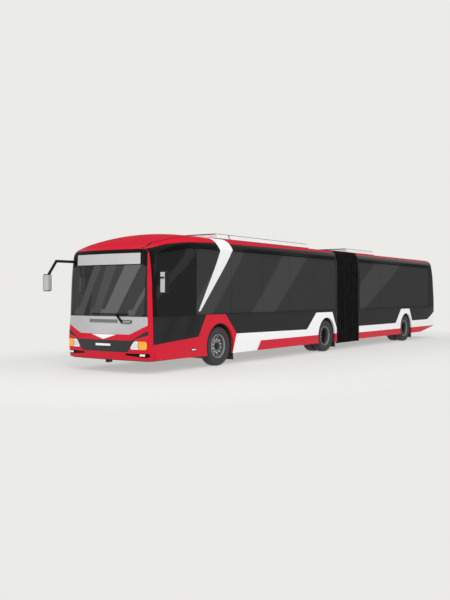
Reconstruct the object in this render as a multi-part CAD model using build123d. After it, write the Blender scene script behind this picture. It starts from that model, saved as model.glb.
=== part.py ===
from build123d import *

import os
from functools import lru_cache
from math import hypot, sqrt

# Articulated low-floor city bus, about 18 m long: two sections joined by a turntable and a bellows.
# Millimetres, +X forward, +Y to the bus's left, +Z up, origin on the ground under the middle of the whole
# vehicle with its mirrors. Places along the bus are distances behind the front face, and at() turns such a
# distance into X. The driver sits on the left, and the doors are on the right.

# ---- Whole vehicle -------------------------------------------------------------------------------
LENGTH = 17950.0  # front face to tail
HALF_WIDTH = 1275.0
MIRROR_REACH = 380.0  # how far the kerb-side mirror stands ahead of the front face
HINGE_REACH = 16.0  # how far the engine lid's hinge stands behind the tail
FRONT = (LENGTH + HINGE_REACH - MIRROR_REACH) / 2  # X of the front face
REAR = FRONT - LENGTH
WALL = 55.0  # outer skin and lining together
FLOOR_TOP = 340.0
FLOOR_THICK = 60.0
CEILING = 2880.0  # joint between the roof and the side walls
CAP_BOTTOM = 2730.0  # the same joint over the front face, where the roof comes down
CAP_END = 1850.0  # where that joint has risen to the ceiling
CAP_JOINT = 700.0  # joint across the roof, behind the front cap
SEAM = 0.5  # gap between fixed panels that meet
SEAT_GAP = 0.3  # gap under a piece that rests on another
FIT = 0.08  # radial running clearance at hubs, pins and the turntable

# ---- Sections and axles, as distances behind the front face --------------------------------------
FRONT_END = 9000.0
BELLOWS_LENGTH = 1650.0
REAR_START = FRONT_END + BELLOWS_LENGTH
PIVOT = FRONT_END + BELLOWS_LENGTH / 2
AXLE_1 = 2720.0
AXLE_2 = 8350.0
AXLE_3 = 14800.0
MASK_END = 320.0  # joint between the front mask and the side walls
TAIL_START = LENGTH - 380.0  # joint between the side walls and the tail panel

# ---- Cross-section -------------------------------------------------------------------------------
LEAN_START = 2600.0
LEAN_RADIUS = 4000.0
SHOULDER_HEIGHT = 3080.0
SHOULDER_HALF_WIDTH = 1202.0
SHOULDER_RADIUS = 230.0
ROOF_APEX = 3280.0  # corner of the roof's outline before its crown is rounded
ROOF_RADIUS = 6000.0
ROOF_TOP = 3197.5  # top of the crown
OPEN_DEPTH = 700.0  # how far below the ground an outline without a floor runs
OVERRUN = 600.0  # how far a cutter runs past what it cuts
BESIDE = HALF_WIDTH + OVERRUN  # Y clear of the bus's side
ABOVE = 3600.0  # Z clear of its roof

# ---- Lengthwise outline --------------------------------------------------------------------------
SKIRT = 280.0
BUMPER_BOTTOM = 300.0
BELT = 1262.0  # bottom edge of the side glass
FALL_START = 1900.0  # where the roof starts to fall towards the front face
FALL_RADIUS = 4230.0
TAIL_BOTTOM = 500.0
TAIL_CUT = 1650.0  # how far ahead of the tail its skirt starts to rise
NOSE_RADIUS = 9000.0  # plan radius of the front face
NOSE_UPRIGHT = 800.0  # height up to which the front face is upright
NOSE_BELT_DEPTH = 45.0  # how far the face has leaned back at the belt
NOSE_TOP_DEPTH = 158.0  # how far it would have leaned back at the height ABOVE
NOSE_EDGE = 190.0  # rounding of the front face into the sides and the roof
TAIL_EDGE = 150.0

# ---- Glass ---------------------------------------------------------------------------------------
GLASS = 6.0
SCREEN_GLASS = 8.0
LAMP_DEPTH = 20.0
PANEL_DEPTH = 12.0
GLASS_TOP = 2832.0
GLASS_TOP_FRONT = 2610.0  # top of the foremost side pane at its front edge, under the falling roof
PANE_JOINT = 8.0
PANE_BORDER = 52.0  # width of the frame behind a pane's edge
PANE_CORNER = 60.0

# ---- Wheels --------------------------------------------------------------------------------------
TYRE_RADIUS = 479.0
TYRE_WIDTH = 276.0
TYRE_SHOULDER = 28.0
TREAD_WIDTH = 236.0
RIM_RADIUS = 286.0
RIM_WALL = 9.0
RIM_WIDTH = 210.0
DISC_THICK = 16.0
HUB_RADIUS = 82.0
HUB_CAP = 60.0  # how far the hub stands out of its disc
HAND_HOLES = 10
HAND_HOLE_RADIUS = 29.0
HAND_HOLE_CIRCLE = 205.0
SPINDLE_RADIUS = 42.0
ARCH_RADIUS = 560.0
TUB_WALL = 28.0
STEER_WHEEL_Y = 1105.0
OUTER_TWIN_Y = 1102.0
TWIN_SPACING = 322.0
STEER_TUB_Y = 590.0  # inner face of the front wheel housings
TWIN_TUB_Y = 560.0
KINGPIN_Y = 980.0
KINGPIN_RADIUS = 22.0
KNUCKLE_RADIUS = 48.0
KNUCKLE_HALF = 120.0
FORK_THICK = 36.0
FORK_GAP = 0.5
BEAM_BOTTOM = 165.0
BEAM_TOP = 255.0
BEAM_HALF_LENGTH = 60.0

# ---- Underframe, pads and axle beams -------------------------------------------------------------
FLOOR_START = 60.0
PAD_HALF_LENGTH = 55.0
PAD_HALF_WIDTH = 90.0
PAD_Y = 400.0
LONG_SILL_START = 3400.0  # sills between the front and middle wheels
LONG_SILL_END = 7700.0
LONG_SILL_HALF = 45.0
DECK_INSET = 90.0  # from the raised deck's end to the tail
FRAME_INSET = 35.0  # from the tail rails' ends to the tail panel
CROSS_BEAM_WIDTH = 60.0
MOUNT_FROM_START = 150.0  # engine mounts, from either end of the engine
MOUNT_FROM_END = 250.0
MOUNT_LENGTH = 100.0
PIVOT_CUT_TOP = 1000.0
FRONT_BEAM_Y = 790.0
FORK_POST_Y = 720.0
FORK_POST_HALF = 50.0
FORK_EYE_Y = 780.0
FORK_EYE_RADIUS = 45.0
KNUCKLE_START = 30.0  # from the kingpin to where the spindle leaves the boss
SPINDLE_REACH = 80.0  # spindle's end past the wheel's middle
COLLAR_BACK = 52.0  # collar's end before the wheel's middle
COLLAR_WALL = 26.0
TWIN_BEAM_Y = 600.0
GEAR_CASE_START = 8.0  # from the housing's inner wall
GEAR_CASE_END_Y = 632.0
GEAR_CASE_HALF = 95.0
GEAR_CASE_RADIUS = 150.0
AXLE_TUBE_BACK = 90.0  # from the tube's end to the wheels' discs
AXLE_TUBE_RADIUS = 130.0
TWIN_SPINDLE_Y = 620.0

# ---- Towing eye's socket -------------------------------------------------------------------------
TOW_RADIUS = 18.0
TOW_LENGTH = 120.0
TOW_HALF_BLOCK = 32.0
TOW_END_WALL = 30.0
TOW_START = 110.0

# ---- Doors ---------------------------------------------------------------------------------------
DOOR_WIDTH = 1250.0
DOOR_TOP = 2335.0
DOOR_GAP = 10.0
DOOR_MEETING_GAP = 22.0
DRIVE_OVERLAP = 20.0  # how far the door drive reaches past the doorway
LEAF_CORNER = 40.0
LEAF_THICK = 40.0
LEAF_RECESS = 4.0
LEAF_BORDER = 58.0
LEAF_REBATE = 24.0
LEAF_SILL_GAP = 12.0
POST_RADIUS = 18.0
POST_INSET = 34.0  # from the jamb to the turning post's axis
POST_BEHIND = 38.0  # from the leaf's inner face to the turning post's axis
DRIVE_HEIGHT = 230.0  # cover of the door drive over each doorway
DRIVE_DEPTH = 190.0

# ---- Turntable and bellows -----------------------------------------------------------------------
PLATFORM_RADIUS = 1000.0
PLATFORM_CLEARANCE = 12.0
RACE_OUTER = 640.0
RACE_INNER = 500.0
RACE_JOINT = 300.0
RACE_THICK = 40.0
LINK_BOTTOM = 200.0
LINK_INNER_Y = 300.0
LINK_OUTER_Y = 520.0
LINK_LENGTH = 520.0  # how far the link beams reach under each floor
FOLDS = 12
FOLD_CREST = 8.0
FOLD_DEPTH = 80.0
BELLOWS_CLOTH = 10.0
BELLOWS_BOTTOM = 215.0

# ---- Tail ----------------------------------------------------------------------------------------
DECK_START = 15650.0
DECK_TOP = 820.0
DECK_THICK = 40.0
ENGINE_LENGTH = 1250.0
ENGINE_HALF_WIDTH = 480.0
ENGINE_BOTTOM = 330.0
ENGINE_TOP = DECK_TOP - DECK_THICK - SEAT_GAP
ENGINE_START = DECK_START + 250.0
RAIL_INNER_Y = 500.0
RAIL_WIDTH = 60.0
RAIL_BOTTOM = 520.0
RAIL_TOP = 620.0
LID_HALF_WIDTH = 900.0
LID_BOTTOM = 575.0
LID_TOP = 1290.0
LID_THICK = 30.0
LID_GAP = 8.0
HINGE_RADIUS = 7.0
HINGE_PIN = 3.5
HINGE_EYE_LENGTH = 60.0

# ---- Seats, rails and cab ------------------------------------------------------------------------
SEAT_HEIGHT = 450.0
SEAT_DEPTH = 430.0
SEAT_WIDTH = 430.0
SEAT_BACK = 560.0
SEAT_CUSHION = 62.0
SEAT_SHELL = 48.0
SEAT_OUTER_Y = 985.0  # middle of the seats by the wall
SEAT_SPACING = 450.0
POLE_RADIUS = 17.0
RAIL_Y = 500.0
CAB_FLOOR = 520.0
CAB_SHEET = 25.0
CAB_START = 480.0
CAB_END = 1900.0
CAB_Y = 330.0
DASH_TOP = 1180.0

# ---- Mirrors -------------------------------------------------------------------------------------
MIRROR_HALF_SPAN = 1545.0
MIRROR_WIDTH = 180.0
MIRROR_DEPTH = 100.0
MIRROR_CORNER = 45.0
MIRROR_MIDDLE_Y = MIRROR_HALF_SPAN - MIRROR_WIDTH / 2
KERB_ARM_RADIUS = 32.0
DRIVER_ARM_RADIUS = 26.0
DRIVER_ARM_Z = 2100.0
# Kerb-side arm: (distance, Y, Z) of its root inside the pillar, its elbow and its end inside the head.
KERB_ARM = [(300.0, -1150.0, 2500.0), (-150.0, -1350.0, 2510.0), (-325.0, -MIRROR_MIDDLE_Y, 2150.0)]
KERB_HEAD = (-MIRROR_REACH, 1810.0, 2205.0)  # distance of its front, bottom and top
DRIVER_HEAD = (330.0, 1765.0, 2240.0)
# Mount of the driver's mirror on the pillar: distances and heights of its ends.
MOUNT_START = 264.0
MOUNT_END = 312.0
MOUNT_BOTTOM = 1710.0
MOUNT_TOP = 2415.0
MOUNT_THICK = 16.0

# ---- Roof units ----------------------------------------------------------------------------------
UNIT_HALF_WIDTH = 780.0
UNIT_TOP = 3300.0
UNIT_SLOPE = 120.0

# Doorways: name -> distance of its front jamb behind the front face.
DOORWAYS = {"door_1": 540.0, "door_2": 5050.0, "door_3": 12050.0}
# Panes of each wall: (section, side, distance of the front edge, distance of the rear edge).
PANES = [
    ("front", 1, 330.0, 1735.0),
    ("front", 1, 1743.0, 3180.0),
    ("front", 1, 3188.0, 4630.0),
    ("front", 1, 4638.0, 6080.0),
    ("front", 1, 6088.0, 7530.0),
    ("front", 1, 7538.0, 8950.0),
    ("front", -1, 1850.0, 3430.0),
    ("front", -1, 3438.0, 5000.0),
    ("front", -1, 6350.0, 7640.0),
    ("front", -1, 7648.0, 8950.0),
    ("rear", 1, 10700.0, 12310.0),
    ("rear", 1, 12318.0, 13930.0),
    ("rear", 1, 13938.0, 15550.0),
    ("rear", 1, 15558.0, 17170.0),
    ("rear", -1, 10700.0, 12000.0),
    ("rear", -1, 13350.0, 14620.0),
    ("rear", -1, 14628.0, 15890.0),
    ("rear", -1, 15898.0, 17170.0),
]
# Seat rows: (section, height of the floor under it, distance of the seat's front, Y of each seat).
LEFT_PAIR = (SEAT_OUTER_Y, SEAT_OUTER_Y - SEAT_SPACING)
RIGHT_PAIR = (-SEAT_OUTER_Y, -SEAT_OUTER_Y + SEAT_SPACING)
SEAT_ROWS = [
    ("front", FLOOR_TOP, 3420.0, LEFT_PAIR),
    ("front", FLOOR_TOP, 4150.0, LEFT_PAIR),
    ("front", FLOOR_TOP, 4880.0, LEFT_PAIR),
    ("front", FLOOR_TOP, 5610.0, LEFT_PAIR),
    ("front", FLOOR_TOP, 6340.0, LEFT_PAIR),
    ("front", FLOOR_TOP, 7070.0, LEFT_PAIR),
    ("front", FLOOR_TOP, 3420.0, RIGHT_PAIR),
    ("front", FLOOR_TOP, 4150.0, RIGHT_PAIR),
    ("front", FLOOR_TOP, 7070.0, RIGHT_PAIR),
    ("rear", FLOOR_TOP, 10980.0, LEFT_PAIR),
    ("rear", FLOOR_TOP, 11710.0, LEFT_PAIR),
    ("rear", FLOOR_TOP, 12440.0, LEFT_PAIR),
    ("rear", FLOOR_TOP, 13170.0, LEFT_PAIR),
    ("rear", FLOOR_TOP, 10980.0, RIGHT_PAIR),
    ("rear", DECK_TOP, 15880.0, LEFT_PAIR),
    ("rear", DECK_TOP, 15880.0, RIGHT_PAIR),
    ("rear", DECK_TOP, 16750.0, LEFT_PAIR + (0.0,) + RIGHT_PAIR),
]
# Upright poles: (section, floor height, distance, Y).
POLES = [
    ("front", FLOOR_TOP, 2000.0, -560.0),
    ("front", FLOOR_TOP, 4020.0, RAIL_Y - 210.0),
    ("front", FLOOR_TOP, 5480.0, RAIL_Y - 210.0),
    ("front", FLOOR_TOP, 6940.0, RAIL_Y - 210.0),
    ("front", FLOOR_TOP, 4760.0, -560.0),
    ("front", FLOOR_TOP, 6600.0, -560.0),
    ("front", FLOOR_TOP, 7650.0, RAIL_Y - 210.0),
    ("rear", FLOOR_TOP, 11580.0, -560.0),
    ("rear", FLOOR_TOP, 11580.0, RAIL_Y - 210.0),
    ("rear", FLOOR_TOP, 13040.0, RAIL_Y - 210.0),
    ("rear", FLOOR_TOP, 13700.0, -560.0),
    ("rear", FLOOR_TOP, 15500.0, RAIL_Y - 210.0),
    ("rear", FLOOR_TOP, 15500.0, -RAIL_Y + 210.0),
]
# Roof units: (section, distance of the front end, distance of the rear end).
ROOF_UNITS = [
    ("front", 3380.0, 3900.0),
    ("front", 3990.0, 8180.0),
    ("rear", 10900.0, 13100.0),
]


def at(distance):
    """X of a place that far behind the front face."""
    return FRONT - distance


def box(start, end, y_low, y_high, z_low, z_high):
    """Box between two distances behind the front face, two Y and two Z."""
    size = Box(end - start, y_high - y_low, z_high - z_low)
    return Pos(at((start + end) / 2), (y_low + y_high) / 2, (z_low + z_high) / 2) * size


def rod_y(distance, z, radius, y_low, y_high):
    """Round bar along Y."""
    turned_bar = Rot(90, 0, 0) * Cylinder(radius, y_high - y_low)
    return Pos(at(distance), (y_low + y_high) / 2, z) * turned_bar


def rod_z(distance, y, radius, z_low, z_high):
    """Round bar along Z."""
    return Pos(at(distance), y, (z_low + z_high) / 2) * Cylinder(radius, z_high - z_low)


def rod_x(start, end, y, z, radius):
    """Round bar along X."""
    return Pos(at((start + end) / 2), y, z) * (Rot(0, 90, 0) * Cylinder(radius, end - start))


def rod_between(start, end, radius):
    """Round bar between two points, with its ends square to it."""
    line = Line(start, end)
    return extrude(Plane(origin=start, z_dir=line % 0) * Circle(radius), line.length)


def rounded(corners, inset=0.0):
    """Face inside a counter-clockwise outline of (u, v, radius) corners, every side moved in by inset."""
    count = len(corners)
    sides = []
    for i, (u, v, _) in enumerate(corners):
        next_u, next_v, _ = corners[(i + 1) % count]
        run = hypot(next_u - u, next_v - v)
        du, dv = (next_u - u) / run, (next_v - v) / run
        sides.append((u - dv * inset, v + du * inset, du, dv))
    points = []
    for i in range(count):
        ua, va, dua, dva = sides[i - 1]
        ub, vb, dub, dvb = sides[i]
        cross = dua * dvb - dva * dub
        along = ((ub - ua) * dvb - (vb - va) * dub) / cross
        radius = corners[i][2]
        if radius:
            radius = max(radius - inset, 0) if cross > 0 else max(radius + inset, 0)
        cut = radius * abs(cross) / (1 + dua * dub + dva * dvb)
        points.append((ua + dua * along, va + dva * along, radius, cut))
    edges = []
    for i, (u, v, radius, cut) in enumerate(points):
        _, _, dua, dva = sides[i - 1]
        _, _, dub, dvb = sides[i]
        start = (u - dua * cut, v - dva * cut)
        end = (u + dub * cut, v + dvb * cut)
        if radius > 0:
            reach = hypot(radius, cut) - radius
            bisector = hypot(dub - dua, dvb - dva)
            middle = (u + (dub - dua) / bisector * reach, v + (dvb - dva) / bisector * reach)
            edges.append(ThreePointArc(start, middle, end))
        next_u, next_v, _, next_cut = points[(i + 1) % count]
        edges.append(Line(end, (next_u - dub * next_cut, next_v - dvb * next_cut)))
    return make_face(Wire(edges))


def mirrored(half):
    """Whole (u, v, radius) outline from its right half, listed from bottom to top."""
    return half + [(-u, v, r) for u, v, r in reversed(half)]


def flipped(corners):
    """Outline on the other side of the middle, still counter-clockwise."""
    return [(-u, v, r) for u, v, r in reversed(corners)]


def front_prism(corners, start, end):
    """Prism of a (Y, Z, radius) outline between two distances behind the front face."""
    return extrude(Plane.YZ.offset(at(end)) * rounded(corners), end - start)


def side_prism(corners, y_low, y_high):
    """Prism of a (distance, Z, radius) outline, listed clockwise, between two Y."""
    face = rounded([(at(d), z, r) for d, z, r in corners])
    return extrude(Plane.XZ.offset(-y_high) * face, y_high - y_low)


def side_window(start, end, z_low, z_high, radius, y_low, y_high):
    """Round-cornered rectangular prism through a side."""
    corners = [(end, z_low, radius), (start, z_low, radius), (start, z_high, radius), (end, z_high, radius)]
    return side_prism(corners, y_low, y_high)


def glass_top(distance):
    """Top edge of the side glass: level, and falling over the foremost pane."""
    _, _, fall_end, fall_start = PANES[0]
    share = min(max((fall_start - distance) / (fall_start - fall_end), 0), 1)
    return GLASS_TOP - share * (GLASS_TOP - GLASS_TOP_FRONT)


def pane_prism(start, end, border, radius, y_low, y_high):
    """Prism through a side wall over a pane's height less a border all round."""
    low = BELT + border
    corners = [
        (end, low, radius),
        (start, low, radius),
        (start, glass_top(start) - border, radius),
        (end, glass_top(end) - border, radius),
    ]
    return side_prism(corners, y_low, y_high)


# Corners (Y, Z, radius) of the cross-section.
SECTION = mirrored([
    (HALF_WIDTH, -OPEN_DEPTH, 0),
    (HALF_WIDTH, LEAN_START, LEAN_RADIUS),
    (SHOULDER_HALF_WIDTH, SHOULDER_HEIGHT, SHOULDER_RADIUS),
])[:3] + [(0, ROOF_APEX, ROOF_RADIUS)] + flipped([
    (HALF_WIDTH, -OPEN_DEPTH, 0),
    (HALF_WIDTH, LEAN_START, LEAN_RADIUS),
    (SHOULDER_HALF_WIDTH, SHOULDER_HEIGHT, SHOULDER_RADIUS),
])
# Corners (distance, Z, radius) of what is cut off ahead of the front face.
NOSE = [
    (190.0, -OPEN_DEPTH, 0),
    (-OVERRUN, -OPEN_DEPTH, 0),
    (-OVERRUN, ABOVE, 0),
    (NOSE_TOP_DEPTH, ABOVE, 0),
    (NOSE_BELT_DEPTH, BELT, 1500.0),
    (0.0, NOSE_UPRIGHT, 1500.0),
    (0.0, 560.0, 800.0),
]
# Corners (X, Z, radius) of what is cut off behind the tail, and below the skirt.
TAIL = [
    (REAR - OVERRUN, -OPEN_DEPTH, 0),
    (REAR, -OPEN_DEPTH, 0),
    (REAR, 1500.0, 3000.0),
    (REAR + 330.0, ABOVE, 0),
    (REAR - OVERRUN, ABOVE, 0),
]
UNDER = [
    (REAR - OVERRUN, -2 * OPEN_DEPTH, 0),
    (FRONT + OVERRUN, -2 * OPEN_DEPTH, 0),
    (FRONT + OVERRUN, BUMPER_BOTTOM, 0),
    (at(350.0), BUMPER_BOTTOM, 2000.0),
    (at(1900.0), SKIRT, 3000.0),
    (REAR + TAIL_CUT, SKIRT, 1200.0),
    (REAR, TAIL_BOTTOM, 300.0),
    (REAR - OVERRUN, TAIL_BOTTOM, 0),
]


def turned(corners, grow):
    """Ring sector made by turning a (distance, Z, radius) outline about the front face's upright axis."""
    face = Plane.XZ * rounded([(at(d), z, r) for d, z, r in corners], -grow)
    axis = Axis((at(NOSE_RADIUS), 0, 0), (0, 0, 1))
    return revolve(face.rotate(axis, -20), axis, 40)


def end_edges(body, low_x, high_x):
    """Edges round the front face or the tail."""
    picked = []
    for edge in body.edges():
        size = edge.bounding_box().size
        centre = edge.center()
        if low_x < centre.X < high_x and centre.Z > -OPEN_DEPTH / 2 and size.X < 400:
            picked.append(edge)
    return picked


@lru_cache(maxsize=None)
def envelope(inset=0.0):
    """Outer form of the bus, moved in by inset and open below: straight behind, its roof falling in front."""
    section = Plane.YZ.offset(at(FALL_START)) * rounded(SECTION, inset)
    straight = extrude(section, REAR - OVERRUN / 2 - at(FALL_START))
    axis = Axis((at(FALL_START), 0, ROOF_TOP - FALL_RADIUS), (0, 1, 0))
    falling = revolve(section, axis, 90) & box(-OVERRUN / 2, FALL_START, -BESIDE, BESIDE, -OPEN_DEPTH, ABOVE)
    body = straight + falling - turned(NOSE, inset)
    body -= extrude(Plane.XZ * rounded(TAIL, -inset), BESIDE, both=True)
    body = fillet(end_edges(body, at(400), FRONT + 1), NOSE_EDGE - inset)
    return fillet(end_edges(body, REAR - 1, REAR + 500), TAIL_EDGE - inset)


@lru_cache(maxsize=None)
def outside():
    """Outer form of the bus down to its skirt line."""
    return envelope(0.0) - extrude(Plane.XZ * rounded(UNDER), BESIDE, both=True)


def skin(depth, region):
    """Outermost layer of the bus inside a region, as thick as depth."""
    return (outside() & region) - envelope(depth)


def roof_room(start, end, lift=0.0):
    """Room over the roof's joint line between two distances, the joint moved up by lift."""
    corners = [
        (LENGTH + OVERRUN, CEILING + lift, 0),
        (CAP_END, CEILING + lift, 4000),
        (MASK_END, CAP_BOTTOM + lift, 0),
        (-OVERRUN, CAP_BOTTOM + lift, 0),
        (-OVERRUN, ABOVE, 0),
        (LENGTH + OVERRUN, ABOVE, 0),
    ]
    return side_prism(corners, -BESIDE, BESIDE) & box(start, end, -BESIDE, BESIDE, 0, ABOVE)


def wall_room(start, end, y_low, y_high):
    """Room under the roof's joint line between two distances and two Y."""
    room = box(start, end, y_low, y_high, 0, ABOVE)
    return room - roof_room(start - 1, end + 1, -SEAM)


# ---- Front face: (Y, Z, radius) outlines, the right half from bottom to top or one side's whole ----
SCREEN = mirrored([(1165, 1272, 40), (1150, 2385, 110)])
SCREEN_OPENING = mirrored([(1113, 1324, 30), (1098, 2333, 90)])
DISPLAY = mirrored([(965, 2405, 12), (960, 2645, 12)])
SERVICE = mirrored([(745, 862, 50), (1195, 1062, 40), (1180, 1252, 25)])
HEADLAMP = [(752, 540, 35), (1190, 540, 40), (1190, 718, 40), (868, 718, 90)]
GRILLE_PARTS = [
    mirrored([(700, 470, 50), (860, 730, 30)]),
    [(800, 600, 0), (1215, 745, 60), (1215, 960, 30), (845, 765, 40), (790, 720, 0)],
]
FOG_SLIT = [(640, 412, 8), (1150, 372, 20), (1222, 385, 20), (1215, 450, 20), (1080, 450, 60), (640, 440, 8)]
FOG_DEPTH = 25.0
# The one wiper's motor cover, arm and blade: (Y, Z, radius).
WIPER_COVER = [(500, 1106, 24), (790, 1106, 24), (790, 1172, 24), (500, 1172, 24)]
WIPER_ARM = [(505, 1120, 10), (545, 1150, 10), (372, 1310, 0), (335, 1296, 0)]
WIPER_BLADE = [(-390, 1291, 10), (680, 1291, 10), (680, 1317, 10), (-390, 1317, 10)]
WIPER_HEIGHT = 28.0  # how far they stand off the face
WIPER_CLEARANCE = 14.0  # free height under the arm
# Lamps at the tail: (Y, Z, radius) of the left one.
TAIL_LAMP = [(985, 700, 25), (1150, 700, 25), (1150, 1330, 25), (985, 1330, 25)]
REAR_WINDOW = mirrored([(980, 1480, 70), (950, 2540, 90)])
REAR_OPENING = mirrored([(928, 1532, 40), (898, 2488, 60)])


def prisms(outlines, start, end):
    """Prisms of several front-view outlines, as one shape."""
    shape = front_prism(outlines[0], start, end)
    for outline in outlines[1:]:
        shape += front_prism(outline, start, end)
    return shape


def front_face():
    """Mask with the windscreen, display, service panel, grille and headlamps let into it."""
    mask = skin(WALL, wall_room(-OVERRUN / 2, MASK_END - SEAM, -BESIDE, BESIDE))
    grille = [GRILLE_PARTS[0], GRILLE_PARTS[1], flipped(GRILLE_PARTS[1])]
    # Name, depth and outlines of what is let in.
    let_in = [
        ("windscreen", SCREEN_GLASS, [SCREEN]),
        ("destination_display", SCREEN_GLASS, [DISPLAY]),
        ("service_panel", PANEL_DEPTH, [SERVICE]),
        ("headlamps", LAMP_DEPTH, [HEADLAMP, flipped(HEADLAMP)]),
        ("bumper_grille", PANEL_DEPTH, grille),
    ]
    nodes = {}
    lamps = prisms([HEADLAMP, flipped(HEADLAMP)], -OVERRUN / 2, MASK_END)
    for name, depth, outlines in let_in:
        prism = prisms(outlines, -OVERRUN / 2, MASK_END)
        piece = skin(depth, prism)
        if name == "bumper_grille":
            piece -= lamps
        nodes[name] = piece
        mask -= skin(depth + SEAM, prism)
    mask -= skin(FOG_DEPTH, prisms([FOG_SLIT, flipped(FOG_SLIT)], -OVERRUN / 2, MASK_END))
    nodes["front_mask"] = mask - front_prism(SCREEN_OPENING, -OVERRUN / 2, MASK_END + WALL)
    return nodes


def side_wall(start, end, side, section):
    """Wall of one side, from the skirt to the roof joint, and its panes."""
    y_low, y_high = (0, BESIDE) if side > 0 else (-BESIDE, 0)
    wall = skin(WALL, wall_room(start, end, y_low, y_high))
    panes = [pane for pane in PANES if pane[0] == section and pane[1] == side]
    glass = []
    for _, _, pane_start, pane_end in panes:
        joint = PANE_JOINT / 2
        glass.append(skin(GLASS, pane_prism(pane_start, pane_end, 0, 0, y_low, y_high)))
        recess = pane_prism(pane_start - joint, pane_end + joint, -2 * SEAM, 0, y_low, y_high)
        wall -= skin(GLASS + SEAM, recess)
        border = PANE_BORDER
        wall -= pane_prism(pane_start + border, pane_end - border, border, PANE_CORNER, y_low, y_high)
    for axle in (AXLE_1, AXLE_2, AXLE_3):
        wall -= rod_y(axle, TYRE_RADIUS, ARCH_RADIUS, y_low - 1, y_high + 1)
    if side < 0:
        inner = -HALF_WIDTH + WALL
        for door_start in DOORWAYS.values():
            if start < door_start < end:
                door_end = door_start + DOOR_WIDTH
                low, high = door_start - DRIVE_OVERLAP, door_end + DRIVE_OVERLAP
                drive = box(low, high, inner - 1, inner + DRIVE_DEPTH, DOOR_TOP, DOOR_TOP + DRIVE_HEIGHT)
                wall += drive & envelope(WALL - 1)
                wall -= box(door_start, door_end, y_low, inner + WALL, FLOOR_TOP, DOOR_TOP)
    return wall, glass


def underframe(start, end):
    """Floor plate with its wheel housings' openings, inside the walls."""
    plate = box(start, end, -BESIDE, BESIDE, FLOOR_TOP - FLOOR_THICK, FLOOR_TOP)
    return plate & envelope(WALL + SEAT_GAP)


# Wheel housings: (section, axle, Y of the inner face).
HOUSINGS = [
    ("front", AXLE_1, STEER_TUB_Y),
    ("front", AXLE_2, TWIN_TUB_Y),
    ("rear", AXLE_3, TWIN_TUB_Y),
]


def wheel_housings(section):
    """Housings over the wheels: half round shells from their inner walls to the side walls."""
    shells = []
    outer_y = HALF_WIDTH - WALL - SEAT_GAP
    reach = ARCH_RADIUS + TUB_WALL + 1
    for housing_section, axle, inner_y in HOUSINGS:
        if housing_section == section:
            room = box(axle - reach, axle + reach, -BESIDE, BESIDE, FLOOR_TOP - FLOOR_THICK, ABOVE)
            for side in (1, -1):
                low, high = sorted((side * (inner_y - TUB_WALL), side * outer_y))
                shell = rod_y(axle, TYRE_RADIUS, ARCH_RADIUS + TUB_WALL, low, high) & room
                low, high = sorted((side * inner_y, side * BESIDE))
                shells.append(shell - rod_y(axle, TYRE_RADIUS, ARCH_RADIUS, low, high))
    return Compound(children=shells)


def cut_for_housings(floor, section):
    """Floor less the places where its wheel housings come through."""
    for housing_section, axle, inner_y in HOUSINGS:
        if housing_section == section:
            for side in (1, -1):
                low, high = sorted((side * (inner_y - TUB_WALL - SEAT_GAP), side * BESIDE))
                floor -= rod_y(axle, TYRE_RADIUS, ARCH_RADIUS + TUB_WALL + SEAT_GAP, low, high)
    return floor


def axle_pads(axle, half_y):
    """Pads between the floor and an axle beam."""
    pads = []
    start, end = axle - PAD_HALF_LENGTH, axle + PAD_HALF_LENGTH
    for y in (-half_y, half_y):
        low, high = y - PAD_HALF_WIDTH, y + PAD_HALF_WIDTH
        pads.append(box(start, end, low, high, BEAM_TOP + SEAT_GAP, FLOOR_TOP - FLOOR_THICK + 1))
    return pads


def front_underframe():
    """Floor of the front section with its housings, sills, pads and cab step."""
    floor = underframe(FLOOR_START, FRONT_END - SEAM)
    floor = cut_for_housings(floor, "front")
    for pad in axle_pads(AXLE_1, PAD_Y) + axle_pads(AXLE_2, PAD_Y):
        floor += pad
    for y in (-LINK_OUTER_Y, LINK_OUTER_Y):
        low, high = y - LONG_SILL_HALF, y + LONG_SILL_HALF
        floor += box(LONG_SILL_START, LONG_SILL_END, low, high, LINK_BOTTOM, FLOOR_TOP - FLOOR_THICK + 1)
    block, socket = tow_socket(TOW_START, FLOOR_TOP - FLOOR_THICK + 1 - TOW_HALF_BLOCK)
    floor = floor + block - socket
    return floor - rod_z(PIVOT, 0, PLATFORM_RADIUS + PLATFORM_CLEARANCE, 0, PIVOT_CUT_TOP)


def cab_platform():
    """Hollow step under the driver's place, open below."""
    wall_y = HALF_WIDTH - WALL - SEAT_GAP
    step = box(CAB_START, CAB_END, CAB_Y, wall_y, FLOOR_TOP + SEAT_GAP, CAB_FLOOR)
    sheet = CAB_SHEET
    return step - box(CAB_START + sheet, CAB_END - sheet, CAB_Y + sheet, wall_y - sheet, 0, CAB_FLOOR - sheet)


def tow_socket(start, z):
    """Block with a blind socket for a towing eye, open at its front end."""
    end = start + TOW_LENGTH + TOW_END_WALL
    block = box(start, end, -TOW_HALF_BLOCK, TOW_HALF_BLOCK, z - TOW_HALF_BLOCK, z + TOW_HALF_BLOCK)
    return block, rod_x(start, start + TOW_LENGTH, 0, z, TOW_RADIUS)


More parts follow.
